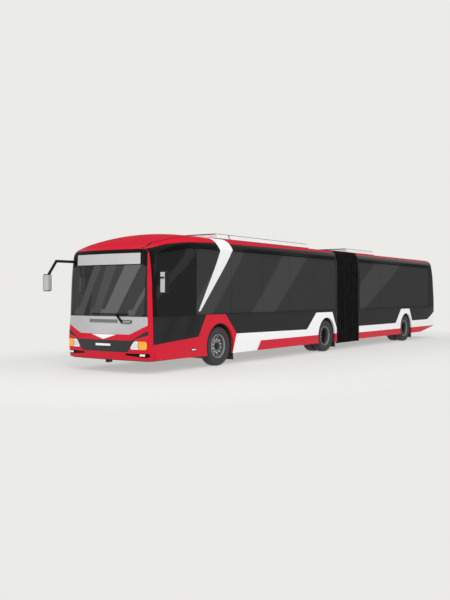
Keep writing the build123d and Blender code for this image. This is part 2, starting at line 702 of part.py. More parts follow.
def rear_underframe():
    """Floor of the rear section with its housings, raised deck and pads."""
    floor = underframe(REAR_START + SEAM, DECK_START + DECK_THICK)
    floor = cut_for_housings(floor, "rear")
    for pad in axle_pads(AXLE_3, PAD_Y):
        floor += pad
    deck = box(DECK_START, LENGTH - DECK_INSET, -BESIDE, BESIDE, DECK_TOP - DECK_THICK, DECK_TOP)
    riser = box(DECK_START, DECK_START + DECK_THICK, -BESIDE, BESIDE, FLOOR_TOP - FLOOR_THICK, DECK_TOP)
    floor += (deck + riser) & envelope(WALL + SEAT_GAP)
    frame_end = LENGTH - WALL - FRAME_INSET
    for side in (1, -1):
        low, high = sorted((side * RAIL_INNER_Y, side * (RAIL_INNER_Y + RAIL_WIDTH)))
        floor += box(DECK_START, frame_end, low, high, RAIL_BOTTOM, RAIL_TOP)
        low, high = sorted((side * (ENGINE_HALF_WIDTH + SEAT_GAP), side * (RAIL_INNER_Y + 1)))
        for start in (ENGINE_START + MOUNT_FROM_START, ENGINE_START + ENGINE_LENGTH - MOUNT_FROM_END):
            floor += box(start, start + MOUNT_LENGTH, low, high, RAIL_BOTTOM, RAIL_TOP)
    cross_start = frame_end - CROSS_BEAM_WIDTH
    floor += box(cross_start, frame_end, -RAIL_INNER_Y - 1, RAIL_INNER_Y + 1, RAIL_BOTTOM, RAIL_TOP)
    return floor - rod_z(PIVOT, 0, PLATFORM_RADIUS + SEAM, 0, PIVOT_CUT_TOP)


def front_axle():
    """Dropped beam with a fork and a kingpin at each end."""
    start, end = AXLE_1 - BEAM_HALF_LENGTH, AXLE_1 + BEAM_HALF_LENGTH
    beam = box(start, end, -FRONT_BEAM_Y, FRONT_BEAM_Y, BEAM_BOTTOM, BEAM_TOP)
    top = TYRE_RADIUS + KNUCKLE_HALF + FORK_GAP
    bottom = TYRE_RADIUS - KNUCKLE_HALF - FORK_GAP
    for side in (1, -1):
        low, high = sorted((side * FORK_POST_Y, side * FRONT_BEAM_Y))
        beam += box(AXLE_1 - FORK_POST_HALF, AXLE_1 + FORK_POST_HALF, low, high, BEAM_BOTTOM, top + FORK_THICK)
        low, high = sorted((side * FORK_EYE_Y, side * KINGPIN_Y))
        for z in (top, bottom - FORK_THICK):
            beam += box(AXLE_1 - FORK_EYE_RADIUS, AXLE_1 + FORK_EYE_RADIUS, low, high, z, z + FORK_THICK)
            beam += rod_z(AXLE_1, side * KINGPIN_Y, FORK_EYE_RADIUS, z, z + FORK_THICK)
        beam += rod_z(AXLE_1, side * KINGPIN_Y, KINGPIN_RADIUS, bottom - FORK_THICK, top + FORK_THICK)
    return beam


def knuckle(side):
    """Steering knuckle: a boss on the kingpin with the wheel's spindle."""
    y = side * KINGPIN_Y
    boss = rod_z(AXLE_1, y, KNUCKLE_RADIUS, TYRE_RADIUS - KNUCKLE_HALF, TYRE_RADIUS + KNUCKLE_HALF)
    low, high = sorted((y + side * KNUCKLE_START, side * (STEER_WHEEL_Y + SPINDLE_REACH)))
    boss += rod_y(AXLE_1, TYRE_RADIUS, SPINDLE_RADIUS, low, high)
    low, high = sorted((y + side * KNUCKLE_START, side * (STEER_WHEEL_Y - COLLAR_BACK)))
    boss += rod_y(AXLE_1, TYRE_RADIUS, SPINDLE_RADIUS + COLLAR_WALL, low, high)
    return boss - rod_z(AXLE_1, y, KINGPIN_RADIUS + FIT, 0, PIVOT_CUT_TOP)


def twin_axle(axle):
    """Portal axle: a low beam, a gear housing at each end and the spindles for the twin wheels."""
    start, end = axle - BEAM_HALF_LENGTH, axle + BEAM_HALF_LENGTH
    beam = box(start, end, -TWIN_BEAM_Y, TWIN_BEAM_Y, BEAM_BOTTOM, BEAM_TOP)
    disc_y = OUTER_TWIN_Y - TWIN_SPACING / 2
    for side in (1, -1):
        low, high = sorted((side * (TWIN_TUB_Y + GEAR_CASE_START), side * GEAR_CASE_END_Y))
        beam += box(axle - GEAR_CASE_HALF, axle + GEAR_CASE_HALF, low, high, BEAM_BOTTOM, TYRE_RADIUS)
        beam += rod_y(axle, TYRE_RADIUS, GEAR_CASE_RADIUS, low, high)
        low, high = sorted((side * TWIN_BEAM_Y, side * (disc_y - AXLE_TUBE_BACK)))
        beam += rod_y(axle, TYRE_RADIUS, AXLE_TUBE_RADIUS, low, high)
        low, high = sorted((side * TWIN_SPINDLE_Y, side * (disc_y + SPINDLE_REACH)))
        beam += rod_y(axle, TYRE_RADIUS, SPINDLE_RADIUS, low, high)
    return beam


def wheel_profile(points, axle, y, side):
    """Solid of revolution about a wheel's axis from (outward offset, radius) points."""
    corners = [(at(axle), y + side * offset, TYRE_RADIUS + radius) for offset, radius in points]
    face = make_face(Polyline(corners, close=True))
    return revolve(face, Axis((at(axle), y, TYRE_RADIUS), (0, 1, 0)), 360)


def tyre(axle, y, side):
    """One tyre, seated on its rim."""
    half = TYRE_WIDTH / 2
    bead = RIM_RADIUS + SEAT_GAP
    points = [
        (-88, bead),
        (88, bead),
        (108, bead + 14),
        (half, 385),
        (half - 6, 430),
        (TREAD_WIDTH / 2, TYRE_RADIUS - 12),
        (TREAD_WIDTH / 2 - TYRE_SHOULDER, TYRE_RADIUS),
        (-TREAD_WIDTH / 2 + TYRE_SHOULDER, TYRE_RADIUS),
        (-TREAD_WIDTH / 2, TYRE_RADIUS - 12),
        (-half + 6, 430),
        (-half, 385),
        (-108, bead + 14),
    ]
    return wheel_profile(points, axle, y, side)


def rim(axle, y, side, barrel_inner, barrel_outer, disc, cap):
    """Rim barrel with its dished disc and hub; offsets run outward from y."""
    inner = RIM_RADIUS - RIM_WALL
    bore = SPINDLE_RADIUS + FIT
    points = [
        (barrel_inner, inner),
        (barrel_inner, RIM_RADIUS),
        (barrel_outer, RIM_RADIUS),
        (barrel_outer, inner),
        (disc + DISC_THICK, inner),
        (disc + DISC_THICK, 185),
        (disc + DISC_THICK + 34, 140),
        (disc + DISC_THICK + 34, HUB_RADIUS),
        (disc + cap + 30, HUB_RADIUS),
        (disc + cap + 50, HUB_RADIUS - 20),
        (disc + cap + 50, 0),
        (disc + cap + 34, 0),
        (disc + cap + 34, bore),
        (disc - 45, bore),
        (disc - 45, HUB_RADIUS),
        (disc + 18, HUB_RADIUS),
        (disc + 18, 135),
        (disc, 178),
        (disc, inner),
    ]
    wheel = wheel_profile(points, axle, y, side)
    for i in range(HAND_HOLES):
        turn = 360.0 / HAND_HOLES * i
        hole = rod_y(axle, TYRE_RADIUS + HAND_HOLE_CIRCLE + 18, HAND_HOLE_RADIUS, y - 400, y + 400)
        wheel -= hole.rotate(Axis((at(axle), y, TYRE_RADIUS), (0, 1, 0)), turn)
    return wheel


def wheels():
    """Tyres and rims of the six wheel positions."""
    nodes = {}
    for side, name in ((1, "left"), (-1, "right")):
        y = side * STEER_WHEEL_Y
        nodes[f"front_{name}_tyre"] = tyre(AXLE_1, y, side)
        nodes[f"front_{name}_rim"] = rim(AXLE_1, y, side, -RIM_WIDTH / 2, RIM_WIDTH / 2, 10, 36)
        for axle_name, axle in (("middle", AXLE_2), ("rear", AXLE_3)):
            y = side * OUTER_TWIN_Y
            inner_y = side * (OUTER_TWIN_Y - TWIN_SPACING)
            nodes[f"{axle_name}_{name}_tyres"] = Compound(
                children=[tyre(axle, y, side), tyre(axle, inner_y, side)]
            )
            barrel_inner = -TWIN_SPACING - RIM_WIDTH / 2
            disc = -TWIN_SPACING / 2
            nodes[f"{axle_name}_{name}_rims"] = rim(axle, y, side, barrel_inner, RIM_WIDTH / 2, disc, 60)
    return nodes


def door_leaf(jamb, way):
    """One door leaf with its turning post; way is +1 for the leaf at the front jamb, -1 for the other."""
    width = (DOOR_WIDTH - 2 * DOOR_GAP - DOOR_MEETING_GAP) / 2
    low, high = sorted((jamb + way * DOOR_GAP, jamb + way * (DOOR_GAP + width)))
    outer = -HALF_WIDTH + LEAF_RECESS
    inner = outer + LEAF_THICK
    bottom = FLOOR_TOP + LEAF_SILL_GAP
    top = DOOR_TOP - DOOR_GAP
    leaf = box(low, high, outer, inner, bottom, top)
    border, rebate = LEAF_BORDER, LEAF_REBATE
    leaf -= side_window(
        low + border, high - border, bottom + border, top - border, LEAF_CORNER, outer - 1, inner + 1
    )
    leaf -= box(low + rebate, high - rebate, outer - 1, outer + GLASS + SEAM, bottom + rebate, top - rebate)
    edge = LEAF_REBATE + SEAM
    pane = box(low + edge, high - edge, outer, outer + GLASS, bottom + edge, top - edge)
    post_d = jamb + way * POST_INSET
    post_y = inner + POST_BEHIND
    leaf += rod_z(post_d, post_y, POST_RADIUS, FLOOR_TOP + SEAT_GAP, DOOR_TOP - SEAT_GAP)
    for z in (bottom + 150, (bottom + top) / 2, top - 200):
        leaf += box(post_d - 14, post_d + 14, inner - 1, post_y, z, z + 50)
    return Compound(children=[leaf, pane])


def doors():
    """All six leaves."""
    nodes = {}
    for name, start in DOORWAYS.items():
        nodes[f"{name}_front_leaf"] = door_leaf(start, 1)
        nodes[f"{name}_rear_leaf"] = door_leaf(start + DOOR_WIDTH, -1)
    return nodes


def turntable():
    """Lower race on the front section, and the platform with the upper race on the rear section."""
    floor_bottom = FLOOR_TOP - FLOOR_THICK
    lower_top = RACE_JOINT - SEAT_GAP
    base = rod_z(PIVOT, 0, RACE_OUTER, lower_top - RACE_THICK, lower_top)
    base -= rod_z(PIVOT, 0, RACE_INNER, 0, 1000)
    front_reach = FRONT_END - LINK_LENGTH
    for side in (1, -1):
        low, high = sorted((side * LINK_INNER_Y, side * LINK_OUTER_Y))
        base += box(front_reach, PIVOT - 380, low, high, LINK_BOTTOM, floor_bottom - SEAT_GAP)
    base -= rod_z(PIVOT, 0, RACE_INNER, 0, 1000)
    ring = rod_z(PIVOT, 0, PLATFORM_RADIUS, RACE_JOINT, FLOOR_TOP)
    ring += rod_z(PIVOT, 0, RACE_INNER - FIT, RACE_JOINT - RACE_THICK, RACE_JOINT + 1)
    drop_start = PIVOT + RACE_OUTER + 30
    for side in (1, -1):
        low, high = sorted((side * LINK_INNER_Y, side * LINK_OUTER_Y))
        ring += box(drop_start, PIVOT + 800, low, high, LINK_BOTTOM, RACE_JOINT + 1)
        ring += box(drop_start, REAR_START + LINK_LENGTH, low, high, LINK_BOTTOM, floor_bottom - SEAT_GAP)
    return {"turntable_base": base, "turntable_ring": ring}


def bellows_outline(distance, inset):
    """Arch-shaped outline of the bellows at one place, open below."""
    half = HALF_WIDTH - inset
    corners = [
        (half, BELLOWS_BOTTOM, 0),
        (half, LEAN_START, 0),
        (SHOULDER_HALF_WIDTH - inset, SHOULDER_HEIGHT - inset, 160),
    ]
    crown = [(0, ROOF_TOP - inset, 0)]
    return Plane.YZ.offset(at(distance)) * rounded(corners + crown + flipped(corners))


def bellows():
    """Folded bellows over the joint: ruled lofts between crests and roots, less the same further in."""
    start = FRONT_END - SEAM + SEAT_GAP
    pitch = (REAR_START + SEAM - SEAT_GAP - start) / (2 * FOLDS)
    surfaces = []
    for cloth in (0.0, BELLOWS_CLOTH):
        sections = []
        for i in range(2 * FOLDS + 1):
            inset = FOLD_CREST + cloth + (FOLD_DEPTH if i % 2 else 0)
            sections.append(bellows_outline(start + pitch * i, inset))
        surfaces.append(loft(sections, ruled=True))
    return surfaces[0] - surfaces[1]


def seat(distance, y, floor):
    """Shell seat on a pedestal, facing forward."""
    top = floor + SEAT_HEIGHT
    back = distance + SEAT_DEPTH
    outline = [
        (back + 60, top - SEAT_CUSHION, 30),
        (distance, top - SEAT_CUSHION, 20),
        (distance, top, 30),
        (back - 30, top - 12, 40),
        (back + 50, top + SEAT_BACK, 20),
        (back + 50 + SEAT_SHELL, top + SEAT_BACK, 20),
        (back + 62, top + 60, 200),
    ]
    low, high = y - SEAT_WIDTH / 2, y + SEAT_WIDTH / 2
    shape = side_prism(outline, low, high)
    middle = distance + SEAT_DEPTH * 0.55
    shape += box(middle - 30, middle + 30, y - 130, y + 130, floor + SEAT_GAP, top - SEAT_CUSHION + 5)
    return shape


def seats(section):
    """All seats of one section."""
    shapes = []
    for row_section, floor, distance, places in SEAT_ROWS:
        if row_section == section:
            for y in places:
                shapes.append(seat(distance, y, floor))
    if section == "front":
        shapes.append(seat(1320.0, (CAB_Y + HALF_WIDTH) / 2, CAB_FLOOR))
    return Compound(children=shapes)


def handrails(section):
    """Poles from the floor to the ceiling."""
    room = envelope(WALL + SEAT_GAP)
    shapes = []
    for pole_section, floor, distance, y in POLES:
        if pole_section == section:
            shapes.append(rod_z(distance, y, POLE_RADIUS, floor + SEAT_GAP, ROOF_APEX) & room)
    return Compound(children=shapes)


def dashboard():
    """Dashboard, steering column and wheel, and the cab's partition."""
    wall_y = HALF_WIDTH - WALL - SEAT_GAP
    desk = side_prism(
        [
            (700, 900, 40),
            (260, 900, 0),
            (260, DASH_TOP, 60),
            (480, DASH_TOP + 20, 60),
            (700, 1020, 60),
        ],
        CAB_Y - 60,
        wall_y - 60,
    )
    desk += box(300, 420, CAB_Y, wall_y - 60, FLOOR_TOP + SEAT_GAP, 905)
    middle = (CAB_Y + HALF_WIDTH) / 2
    hub = (at(900), middle, 1230)
    desk += rod_between((at(560), middle, 930), hub, 32)
    ring = Plane(origin=hub, z_dir=(-340, 0, 300)) * Torus(225, 16)
    desk += ring
    desk += Plane(origin=hub, z_dir=(-340, 0, 300)) * Box(440, 46, 20)
    partition = box(CAB_END + SEAM, CAB_END + 40, CAB_Y, wall_y - 40, FLOOR_TOP + SEAT_GAP, 2150)
    partition += box(1050, CAB_END + 10, CAB_Y - 40, CAB_Y - SEAM, FLOOR_TOP + SEAT_GAP, 1420)
    partition += box(CAB_END + SEAM, CAB_END + 40, CAB_Y - 40, CAB_Y + 10, FLOOR_TOP + SEAT_GAP, 1420)
    return Compound(children=[desk, partition])


def roof_units(section):
    """Housings on the roof, with sloped sides, seated on the roof's curve."""
    shapes = []
    for unit_section, start, end in ROOF_UNITS:
        if unit_section == section:
            outline = mirrored([(UNIT_HALF_WIDTH, 3000, 0), (UNIT_HALF_WIDTH - UNIT_SLOPE, UNIT_TOP, 60)])
            shapes.append(front_prism(outline, start, end) - envelope(-SEAT_GAP))
    return Compound(children=shapes)


def mirrors():
    """Both rear-view mirrors with their arms."""
    return Compound(children=[kerb_mirror(), driver_mirror()])


def mirror_head(place, side):
    """Mirror housing with its outer side at the half span; place is (distance, bottom, top)."""
    distance, z_low, z_high = place
    low, high = sorted((side * (MIRROR_HALF_SPAN - MIRROR_WIDTH), side * MIRROR_HALF_SPAN))
    head = box(distance, distance + MIRROR_DEPTH, low, high, z_low, z_high)
    return fillet(head.edges().filter_by(Axis.X), MIRROR_CORNER)


def kerb_mirror():
    """Long-armed mirror ahead of the windscreen on the door side."""
    root, elbow, end = [(at(distance), y, z) for distance, y, z in KERB_ARM]
    arm = rod_between(root, elbow, KERB_ARM_RADIUS) + rod_between(elbow, end, KERB_ARM_RADIUS)
    arm += Pos(*elbow) * Sphere(KERB_ARM_RADIUS)
    return mirror_head(KERB_HEAD, -1) + (arm - envelope(-SEAT_GAP))


def driver_mirror():
    """Mirror beside the front pillar on the driver's side, on an upright mount."""
    mount = box(MOUNT_START, MOUNT_END, 0, HALF_WIDTH + MOUNT_THICK, MOUNT_BOTTOM, MOUNT_TOP)
    start = (at((MOUNT_START + MOUNT_END) / 2), HALF_WIDTH - WALL, DRIVER_ARM_Z)
    end = (at(DRIVER_HEAD[0] + MIRROR_DEPTH / 2), MIRROR_MIDDLE_Y, DRIVER_ARM_Z)
    arm = rod_between(start, end, DRIVER_ARM_RADIUS)
    return mirror_head(DRIVER_HEAD, 1) + (mount + arm - envelope(-SEAT_GAP))


def wipers():
    """The windscreen's wiper with its motor cover, parked along the bottom of the glass."""
    resting = prisms([WIPER_COVER, WIPER_BLADE], -OVERRUN / 2, MASK_END) - envelope(-SEAT_GAP)
    arm = front_prism(WIPER_ARM, -OVERRUN / 2, MASK_END) - envelope(-WIPER_CLEARANCE)
    return (resting + arm) & envelope(-WIPER_HEIGHT)


def tail():
    """Tail panel with its lamps, rear window, and the hinged engine lid."""
    region = wall_room(TAIL_START + SEAM, LENGTH + OVERRUN / 2, -BESIDE, BESIDE)
    panel = skin(WALL, region)
    window_prism = front_prism(REAR_WINDOW, TAIL_START, LENGTH + 100)
    lamp_prism = prisms([TAIL_LAMP, flipped(TAIL_LAMP)], TAIL_START, LENGTH + 100)
    window = skin(GLASS, window_prism)
    lamps = skin(LAMP_DEPTH, lamp_prism)
    panel -= skin(GLASS + SEAM, window_prism)
    panel -= skin(LAMP_DEPTH + SEAM, lamp_prism)
    panel -= front_prism(REAR_OPENING, TAIL_START, LENGTH + 100)
    opening_y = LID_HALF_WIDTH + LID_GAP
    panel -= box(TAIL_START, LENGTH + 100, -opening_y, opening_y, LID_BOTTOM - LID_GAP, LID_TOP + LID_GAP)
    lid = skin(LID_THICK, box(TAIL_START, LENGTH + 100, -LID_HALF_WIDTH, LID_HALF_WIDTH, LID_BOTTOM, LID_TOP))
    axis_d = LENGTH + HINGE_REACH - HINGE_RADIUS
    axis_z = LID_TOP + LID_GAP / 2
    eye = HINGE_EYE_LENGTH
    for y in (-600.0, 600.0):
        # The lid's eye is in the middle, and the panel's pin and two lugs are on both sides of it.
        barrel = rod_y(axis_d, axis_z, HINGE_RADIUS, y - eye / 2, y + eye / 2)
        strap = box(LENGTH - 3, LENGTH + 3, y - eye / 2, y + eye / 2, LID_TOP - 60, axis_z - 4)
        reach = box(LENGTH - 3, axis_d + 2, y - eye / 2, y + eye / 2, axis_z - HINGE_RADIUS, axis_z - 4)
        lid += strap + reach + barrel
        lid -= rod_y(axis_d, axis_z, HINGE_PIN + FIT, y - eye, y + eye)
        panel += rod_y(axis_d, axis_z, HINGE_PIN, y - eye - 6, y + eye + 6)
        for lug_y in (y - eye, y + eye):
            lug = rod_y(axis_d, axis_z, HINGE_RADIUS, lug_y - 24, lug_y + 24)
            lug += box(LENGTH - 3, axis_d, lug_y - 24, lug_y + 24, axis_z + 1, axis_z + HINGE_RADIUS)
            lug += box(LENGTH - 3, LENGTH + 3, lug_y - 24, lug_y + 24, axis_z + 1, LID_TOP + 60)
            panel += lug
    return {"tail_panel": panel, "tail_lamps": lamps, "engine_lid": lid}, window


def build():
    """All nodes by name."""
    nodes = front_face()
    front_left, front_left_glass = side_wall(MASK_END + SEAM, FRONT_END - SEAM, 1, "front")
    front_right, front_right_glass = side_wall(MASK_END + SEAM, FRONT_END - SEAM, -1, "front")
    rear_left, rear_left_glass = side_wall(REAR_START + SEAM, TAIL_START - SEAM, 1, "rear")
    rear_right, rear_right_glass = side_wall(REAR_START + SEAM, TAIL_START - SEAM, -1, "rear")
    tail_nodes, rear_window = tail()
    nodes.update(tail_nodes)
    nodes["front_left_side"] = front_left
    nodes["front_right_side"] = front_right
    nodes["rear_left_side"] = rear_left
    nodes["rear_right_side"] = rear_right
    nodes["front_side_windows"] = Compound(children=front_left_glass + front_right_glass)
    nodes["rear_side_windows"] = Compound(children=rear_left_glass + rear_right_glass + [rear_window])
    nodes["front_cap"] = skin(WALL, roof_room(-OVERRUN / 2, CAP_JOINT - SEAM))
    nodes["front_roof"] = skin(WALL, roof_room(CAP_JOINT, FRONT_END - SEAM))
    nodes["rear_roof"] = skin(WALL, roof_room(REAR_START + SEAM, LENGTH + OVERRUN / 2))
    nodes["front_roof_units"] = roof_units("front")
    nodes["rear_roof_units"] = roof_units("rear")
    nodes["front_underframe"] = front_underframe()
    nodes["rear_underframe"] = rear_underframe()
    nodes["front_wheel_housings"] = wheel_housings("front")
    nodes["rear_wheel_housings"] = wheel_housings("rear")
    nodes["cab_platform"] = cab_platform()
    nodes["front_axle"] = front_axle()
    nodes["middle_axle"] = twin_axle(AXLE_2)
    nodes["rear_axle"] = twin_axle(AXLE_3)
    nodes["knuckle_left"] = knuckle(1)
    nodes["knuckle_right"] = knuckle(-1)
    nodes.update(wheels())
    nodes.update(doors())
    nodes.update(turntable())
    nodes["bellows"] = bellows()
    for section in ("front", "rear"):
        nodes[f"{section}_seats"] = seats(section)
        nodes[f"{section}_handrails"] = handrails(section)
    nodes["dashboard"] = dashboard()
    nodes["mirrors"] = mirrors()
    nodes["wipers"] = wipers()
    nodes["engine_block"] = box(
        ENGINE_START,
        ENGINE_START + ENGINE_LENGTH,
        -ENGINE_HALF_WIDTH,
        ENGINE_HALF_WIDTH,
        ENGINE_BOTTOM,
        ENGINE_TOP,
    )
    return nodes


os.makedirs("parts", exist_ok=True)
for node, shape in build().items():
    export_step(shape, f"parts/{node}.step")
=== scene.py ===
"""Looks of an articulated city bus over its frame: paint, glass, bellows, tyres, lamps, trim and studio."""

import math

import bmesh
import bpy
import numpy as np
from mathutils import Euler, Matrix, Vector


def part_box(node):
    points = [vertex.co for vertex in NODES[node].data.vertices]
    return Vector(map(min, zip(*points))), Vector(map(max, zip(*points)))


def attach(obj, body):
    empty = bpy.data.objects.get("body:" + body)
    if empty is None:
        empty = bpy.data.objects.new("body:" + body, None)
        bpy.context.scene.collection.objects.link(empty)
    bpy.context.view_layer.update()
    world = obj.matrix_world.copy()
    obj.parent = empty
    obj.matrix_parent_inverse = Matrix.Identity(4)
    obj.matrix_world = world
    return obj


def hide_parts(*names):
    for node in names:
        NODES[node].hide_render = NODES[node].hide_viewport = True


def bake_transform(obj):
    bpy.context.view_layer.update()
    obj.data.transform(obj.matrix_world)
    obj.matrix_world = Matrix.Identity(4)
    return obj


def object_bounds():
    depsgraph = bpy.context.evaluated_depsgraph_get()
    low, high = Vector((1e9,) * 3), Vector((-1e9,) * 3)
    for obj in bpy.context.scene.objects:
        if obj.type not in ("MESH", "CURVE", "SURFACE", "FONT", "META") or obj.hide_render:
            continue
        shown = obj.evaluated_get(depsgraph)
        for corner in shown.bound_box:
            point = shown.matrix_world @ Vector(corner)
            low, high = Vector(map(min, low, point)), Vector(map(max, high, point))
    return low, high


bl_info = {
    "name": "Articulated Bus Looks",
    "version": (1, 0, 0),
    "blender": (4, 5, 0),
    "location": "View3D > Sidebar > Bus",
    "description": "Paints and dresses the articulated bus and sets up its studio",
    "category": "Object",
}

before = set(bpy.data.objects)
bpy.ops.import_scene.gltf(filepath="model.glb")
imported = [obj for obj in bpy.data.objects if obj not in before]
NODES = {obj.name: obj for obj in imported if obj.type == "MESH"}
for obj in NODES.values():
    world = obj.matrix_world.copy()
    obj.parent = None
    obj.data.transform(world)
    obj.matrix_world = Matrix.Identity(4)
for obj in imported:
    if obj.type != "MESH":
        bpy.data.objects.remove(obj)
CAD_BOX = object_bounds()

# ---- Places read from the frame, in metres --------------------------------------------------------
FRONT_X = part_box("front_mask")[1].x
HALF_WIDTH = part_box("front_left_side")[1].y
BELLOWS_LOW, BELLOWS_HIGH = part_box("bellows")
FRAME_WIDTH = 0.034  # end frames of the bellows
BELT = 1.262  # height of the windscreen's and panes' lower edge
LEAN_START = 2.298  # height where the side begins to draw in
LEAN_RADIUS = 4.0
LEAN_ANGLE = math.radians(8.65)
RAKE_START = 0.8  # height where the front face begins to lean back
RAKE_AT_BELT = 0.045  # how far back it is at the windscreen's lower edge
RAKE_SLOPE = 0.113 / 2.338
BOW_RADIUS = 9.0
HUB_Z = 0.479
AXLES = {"front": 2.720, "middle": 8.350, "rear": 14.800}
STEER_WHEEL_Y = 1.105
OUTER_TWIN_Y = 1.102
TWIN_SPACING = 0.322
TYRE_RADIUS = 0.479

# ---- Bellows and wheels ---------------------------------------------------------------------------
BELLOWS_TOP = 3.192
BELLOWS_SHOULDER = (1.202, 3.080)  # y and z where the bellows' roof turns into its side
BELLOWS_BEND = 0.16
BELLOWS_CENTRE = (0.0, 1.7)  # y and z that the upper folds go in towards
CLOTH_THICKNESS = 0.004
TYRE_WALL = [  # (radius, distance from the tyre's middle plane) from the bead to the shoulder
    (0.288, 0.088), (0.296, 0.104), (0.302, 0.108), (0.330, 0.122), (0.385, 0.1375), (0.430, 0.132),
    (0.458, 0.1225),
]
CROWN_HALF = 0.104  # half the width of the tread
CROWN_DROP = 0.011  # how much lower the tread's edge is than its middle
TYRE_SEGMENTS = 288
GROOVES = (-0.066, -0.024, 0.024, 0.066)  # where the grooves run round
GROOVE_HALF = 0.0045
SIPES = 48  # slanted cuts in the shoulders
SINGLE_WHEEL = (STEER_WHEEL_Y, 0.010, 0.096)  # (tyre's middle, the disc's and the hub's end beyond it)
OUTER_TWIN = (OUTER_TWIN_Y, -0.161, -0.051)
NUTS = 10
NUT_CIRCLE = 0.162
NUT_RADIUS = 0.017
NUT_LENGTH = 0.028

# ---- Livery ---------------------------------------------------------------------------------------
# Convex outlines in side view, counter-clockwise with the distance behind the front face to the right:
# (paint, [(distance, height), ...]). Later ones cover earlier ones.
SIDE_LIVERY = [
    ("red", [(-1.0, -1.0), (2.78, -1.0), (4.62, 4.0), (-1.0, 4.0)]),
    ("red", [(-1.0, 2.70), (19.0, 2.70), (19.0, 4.0), (-1.0, 4.0)]),
    ("red", [(4.24, 0.10), (9.6, 0.10), (9.6, 0.53), (4.57, 0.53)]),
    ("red", [(9.9, -1.0), (19.0, -1.0), (19.0, 0.49), (9.9, 0.49)]),
    ("dark", [(0.22, 0.64), (1.84, 0.75), (2.14, 1.24), (2.14, 1.30), (0.22, 1.30)]),
    ("dark", [(3.43, 0.76), (7.08, 0.72), (7.66, 1.20), (7.66, 1.30), (2.90, 1.30)]),
    ("dark", [(7.60, 1.20), (9.60, 1.20), (9.60, 1.32), (7.60, 1.32)]),
    ("dark", [(8.98, 0.72), (9.60, 0.72), (9.60, 1.21), (8.70, 1.21)]),
    ("dark", [(10.5, 0.70), (13.78, 0.70), (14.30, 1.21), (14.30, 1.30), (10.5, 1.30)]),
    ("dark", [(14.25, 1.21), (19.0, 1.21), (19.0, 1.30), (14.25, 1.30)]),
    ("dark", [(15.42, 0.75), (17.03, 0.75), (17.43, 0.88), (18.4, 1.30), (15.08, 1.30)]),
    ("seam", [(0.262, 0.10), (0.274, 0.10), (0.274, 0.47), (0.262, 0.47)]),
    ("band", [(0.22, 1.255), (19.0, 1.255), (19.0, 3.055), (8.9, 3.05), (2.45, 2.985), (1.51, 2.945),
              (0.80, 2.87), (0.22, 2.735)]),
    ("seam", [(0.20, 2.742), (0.52, 2.882), (0.52, 2.890), (0.20, 2.750)]),
    ("seam", [(0.52, 2.882), (1.05, 3.010), (1.05, 3.018), (0.52, 2.890)]),
    ("seam", [(1.05, 3.010), (1.90, 3.120), (1.90, 3.128), (1.05, 3.018)]),
    ("white", [(2.77, 2.81), (3.31, 2.85), (2.96, 3.30), (2.38, 3.30)]),
    ("white", [(1.84, 1.34), (1.92, 1.35), (3.31, 2.85), (2.77, 2.81)]),
]
FLASH = SIDE_LIVERY[-2:]  # the outlines that also cross the glass
FOG_SLIT = [(0.63, 0.405), (1.16, 0.365), (1.235, 0.38), (1.225, 0.458), (1.07, 0.458), (0.63, 0.447)]
# The same in front view: (paint, [(distance left of the middle, height), ...]).
FRONT_LIVERY = [
    ("band", [(-1.40, 1.235), (1.178, 1.235), (1.130, 2.735), (-1.40, 2.735)]),
    ("band", [(-1.40, 0.98), (-1.205, 0.98), (-1.175, 1.240), (-1.40, 1.240)]),
    ("white", [(0.0, 0.745), (0.375, 0.852), (-0.375, 0.852)]),
    ("band", FOG_SLIT),
    ("band", [(-y, z) for y, z in reversed(FOG_SLIT)]),
]
FRONT_VIEW_DEPTH = 0.215  # front-view outlines hold this far behind the front face
GLOSSY_PAINTS = ("dark", "band")
SEAM_COLOR = (0.02, 0.004, 0.004, 1.0)
DUST_COLOR = (0.16, 0.13, 0.11, 1.0)
PAINT_ROUGHNESS = 0.28
DULL_START = 2.75  # height above which the roof's plain paint is weathered dull
DULL_RISE = 0.08
DULL_ROUGHNESS = 0.55  # what the weather adds
GLOSS_ROUGHNESS = -0.14  # what the dark paints take off

# ---- Side glass -----------------------------------------------------------------------------------
# Rows of panes as (front edge, rear edge) behind the front face. The driver's own pane, ahead of them, stays
# black.
LEFT_PANES = [(1.743, 8.950), (10.700, 17.170)]
RIGHT_PANES = [(1.850, 5.000), (6.350, 8.950), (10.700, 12.000), (13.350, 17.170)]
CLEAR_SIDE = 0.028  # black border beside a pane's clear part
CLEAR_LOW = 1.320
CLEAR_HIGH = 2.742
CLEAR_CORNER = 0.075
SCREEN_CLEAR = (1.262, 2.385, 1.100, 0.090)  # windscreen: low, high, half width, corner radius
# Outline as (distance from the middle, height).
WING_RED = [(0.880, 0.700), (1.300, 0.700), (1.300, 0.875), (0.880, 0.755)]

# ---- Lamps, mirrors and small parts ---------------------------------------------------------------
MARKERS = [(1.650, 1)]  # (distance behind the front face, side)
MARKER_Z = 0.460
ROOF_UNITS = [(3.380, 3.900), (3.990, 8.180), (10.900, 13.100)]  # the last is on the rear section
UNIT_TOP_HALF = 0.652
UNIT_FOOT_HALF = 0.716
UNIT_TOP_Z = 3.281
ROOF_CROWN = 3.1975  # top of the roof at its middle
ROOF_RADIUS = 6.0
EDGING_RADIUS = 0.013
FLAP_BEHIND = 0.600  # how far a flap hangs behind its axle
FLAP_BOTTOM = 0.110
FLAP_TOP = 0.300
FLAP_INNER_SINGLE = 0.93
FLAP_INNER_TWIN = 0.66
FLAP_OUTER = 1.235
FLAP_RIB = 0.004
FLAP_RIB_PITCH = 0.075
FLAP_SWAY = 0.018  # how far the foot of a flap bends back
FLAP_THICKNESS = 0.008
HEADLAMP_RINGS = [(0.850, 0.045), (0.930, 0.038)]  # (distance from the middle, radius)
RING_Z = 0.628
RING_HALF = 0.007  # half a ring's width
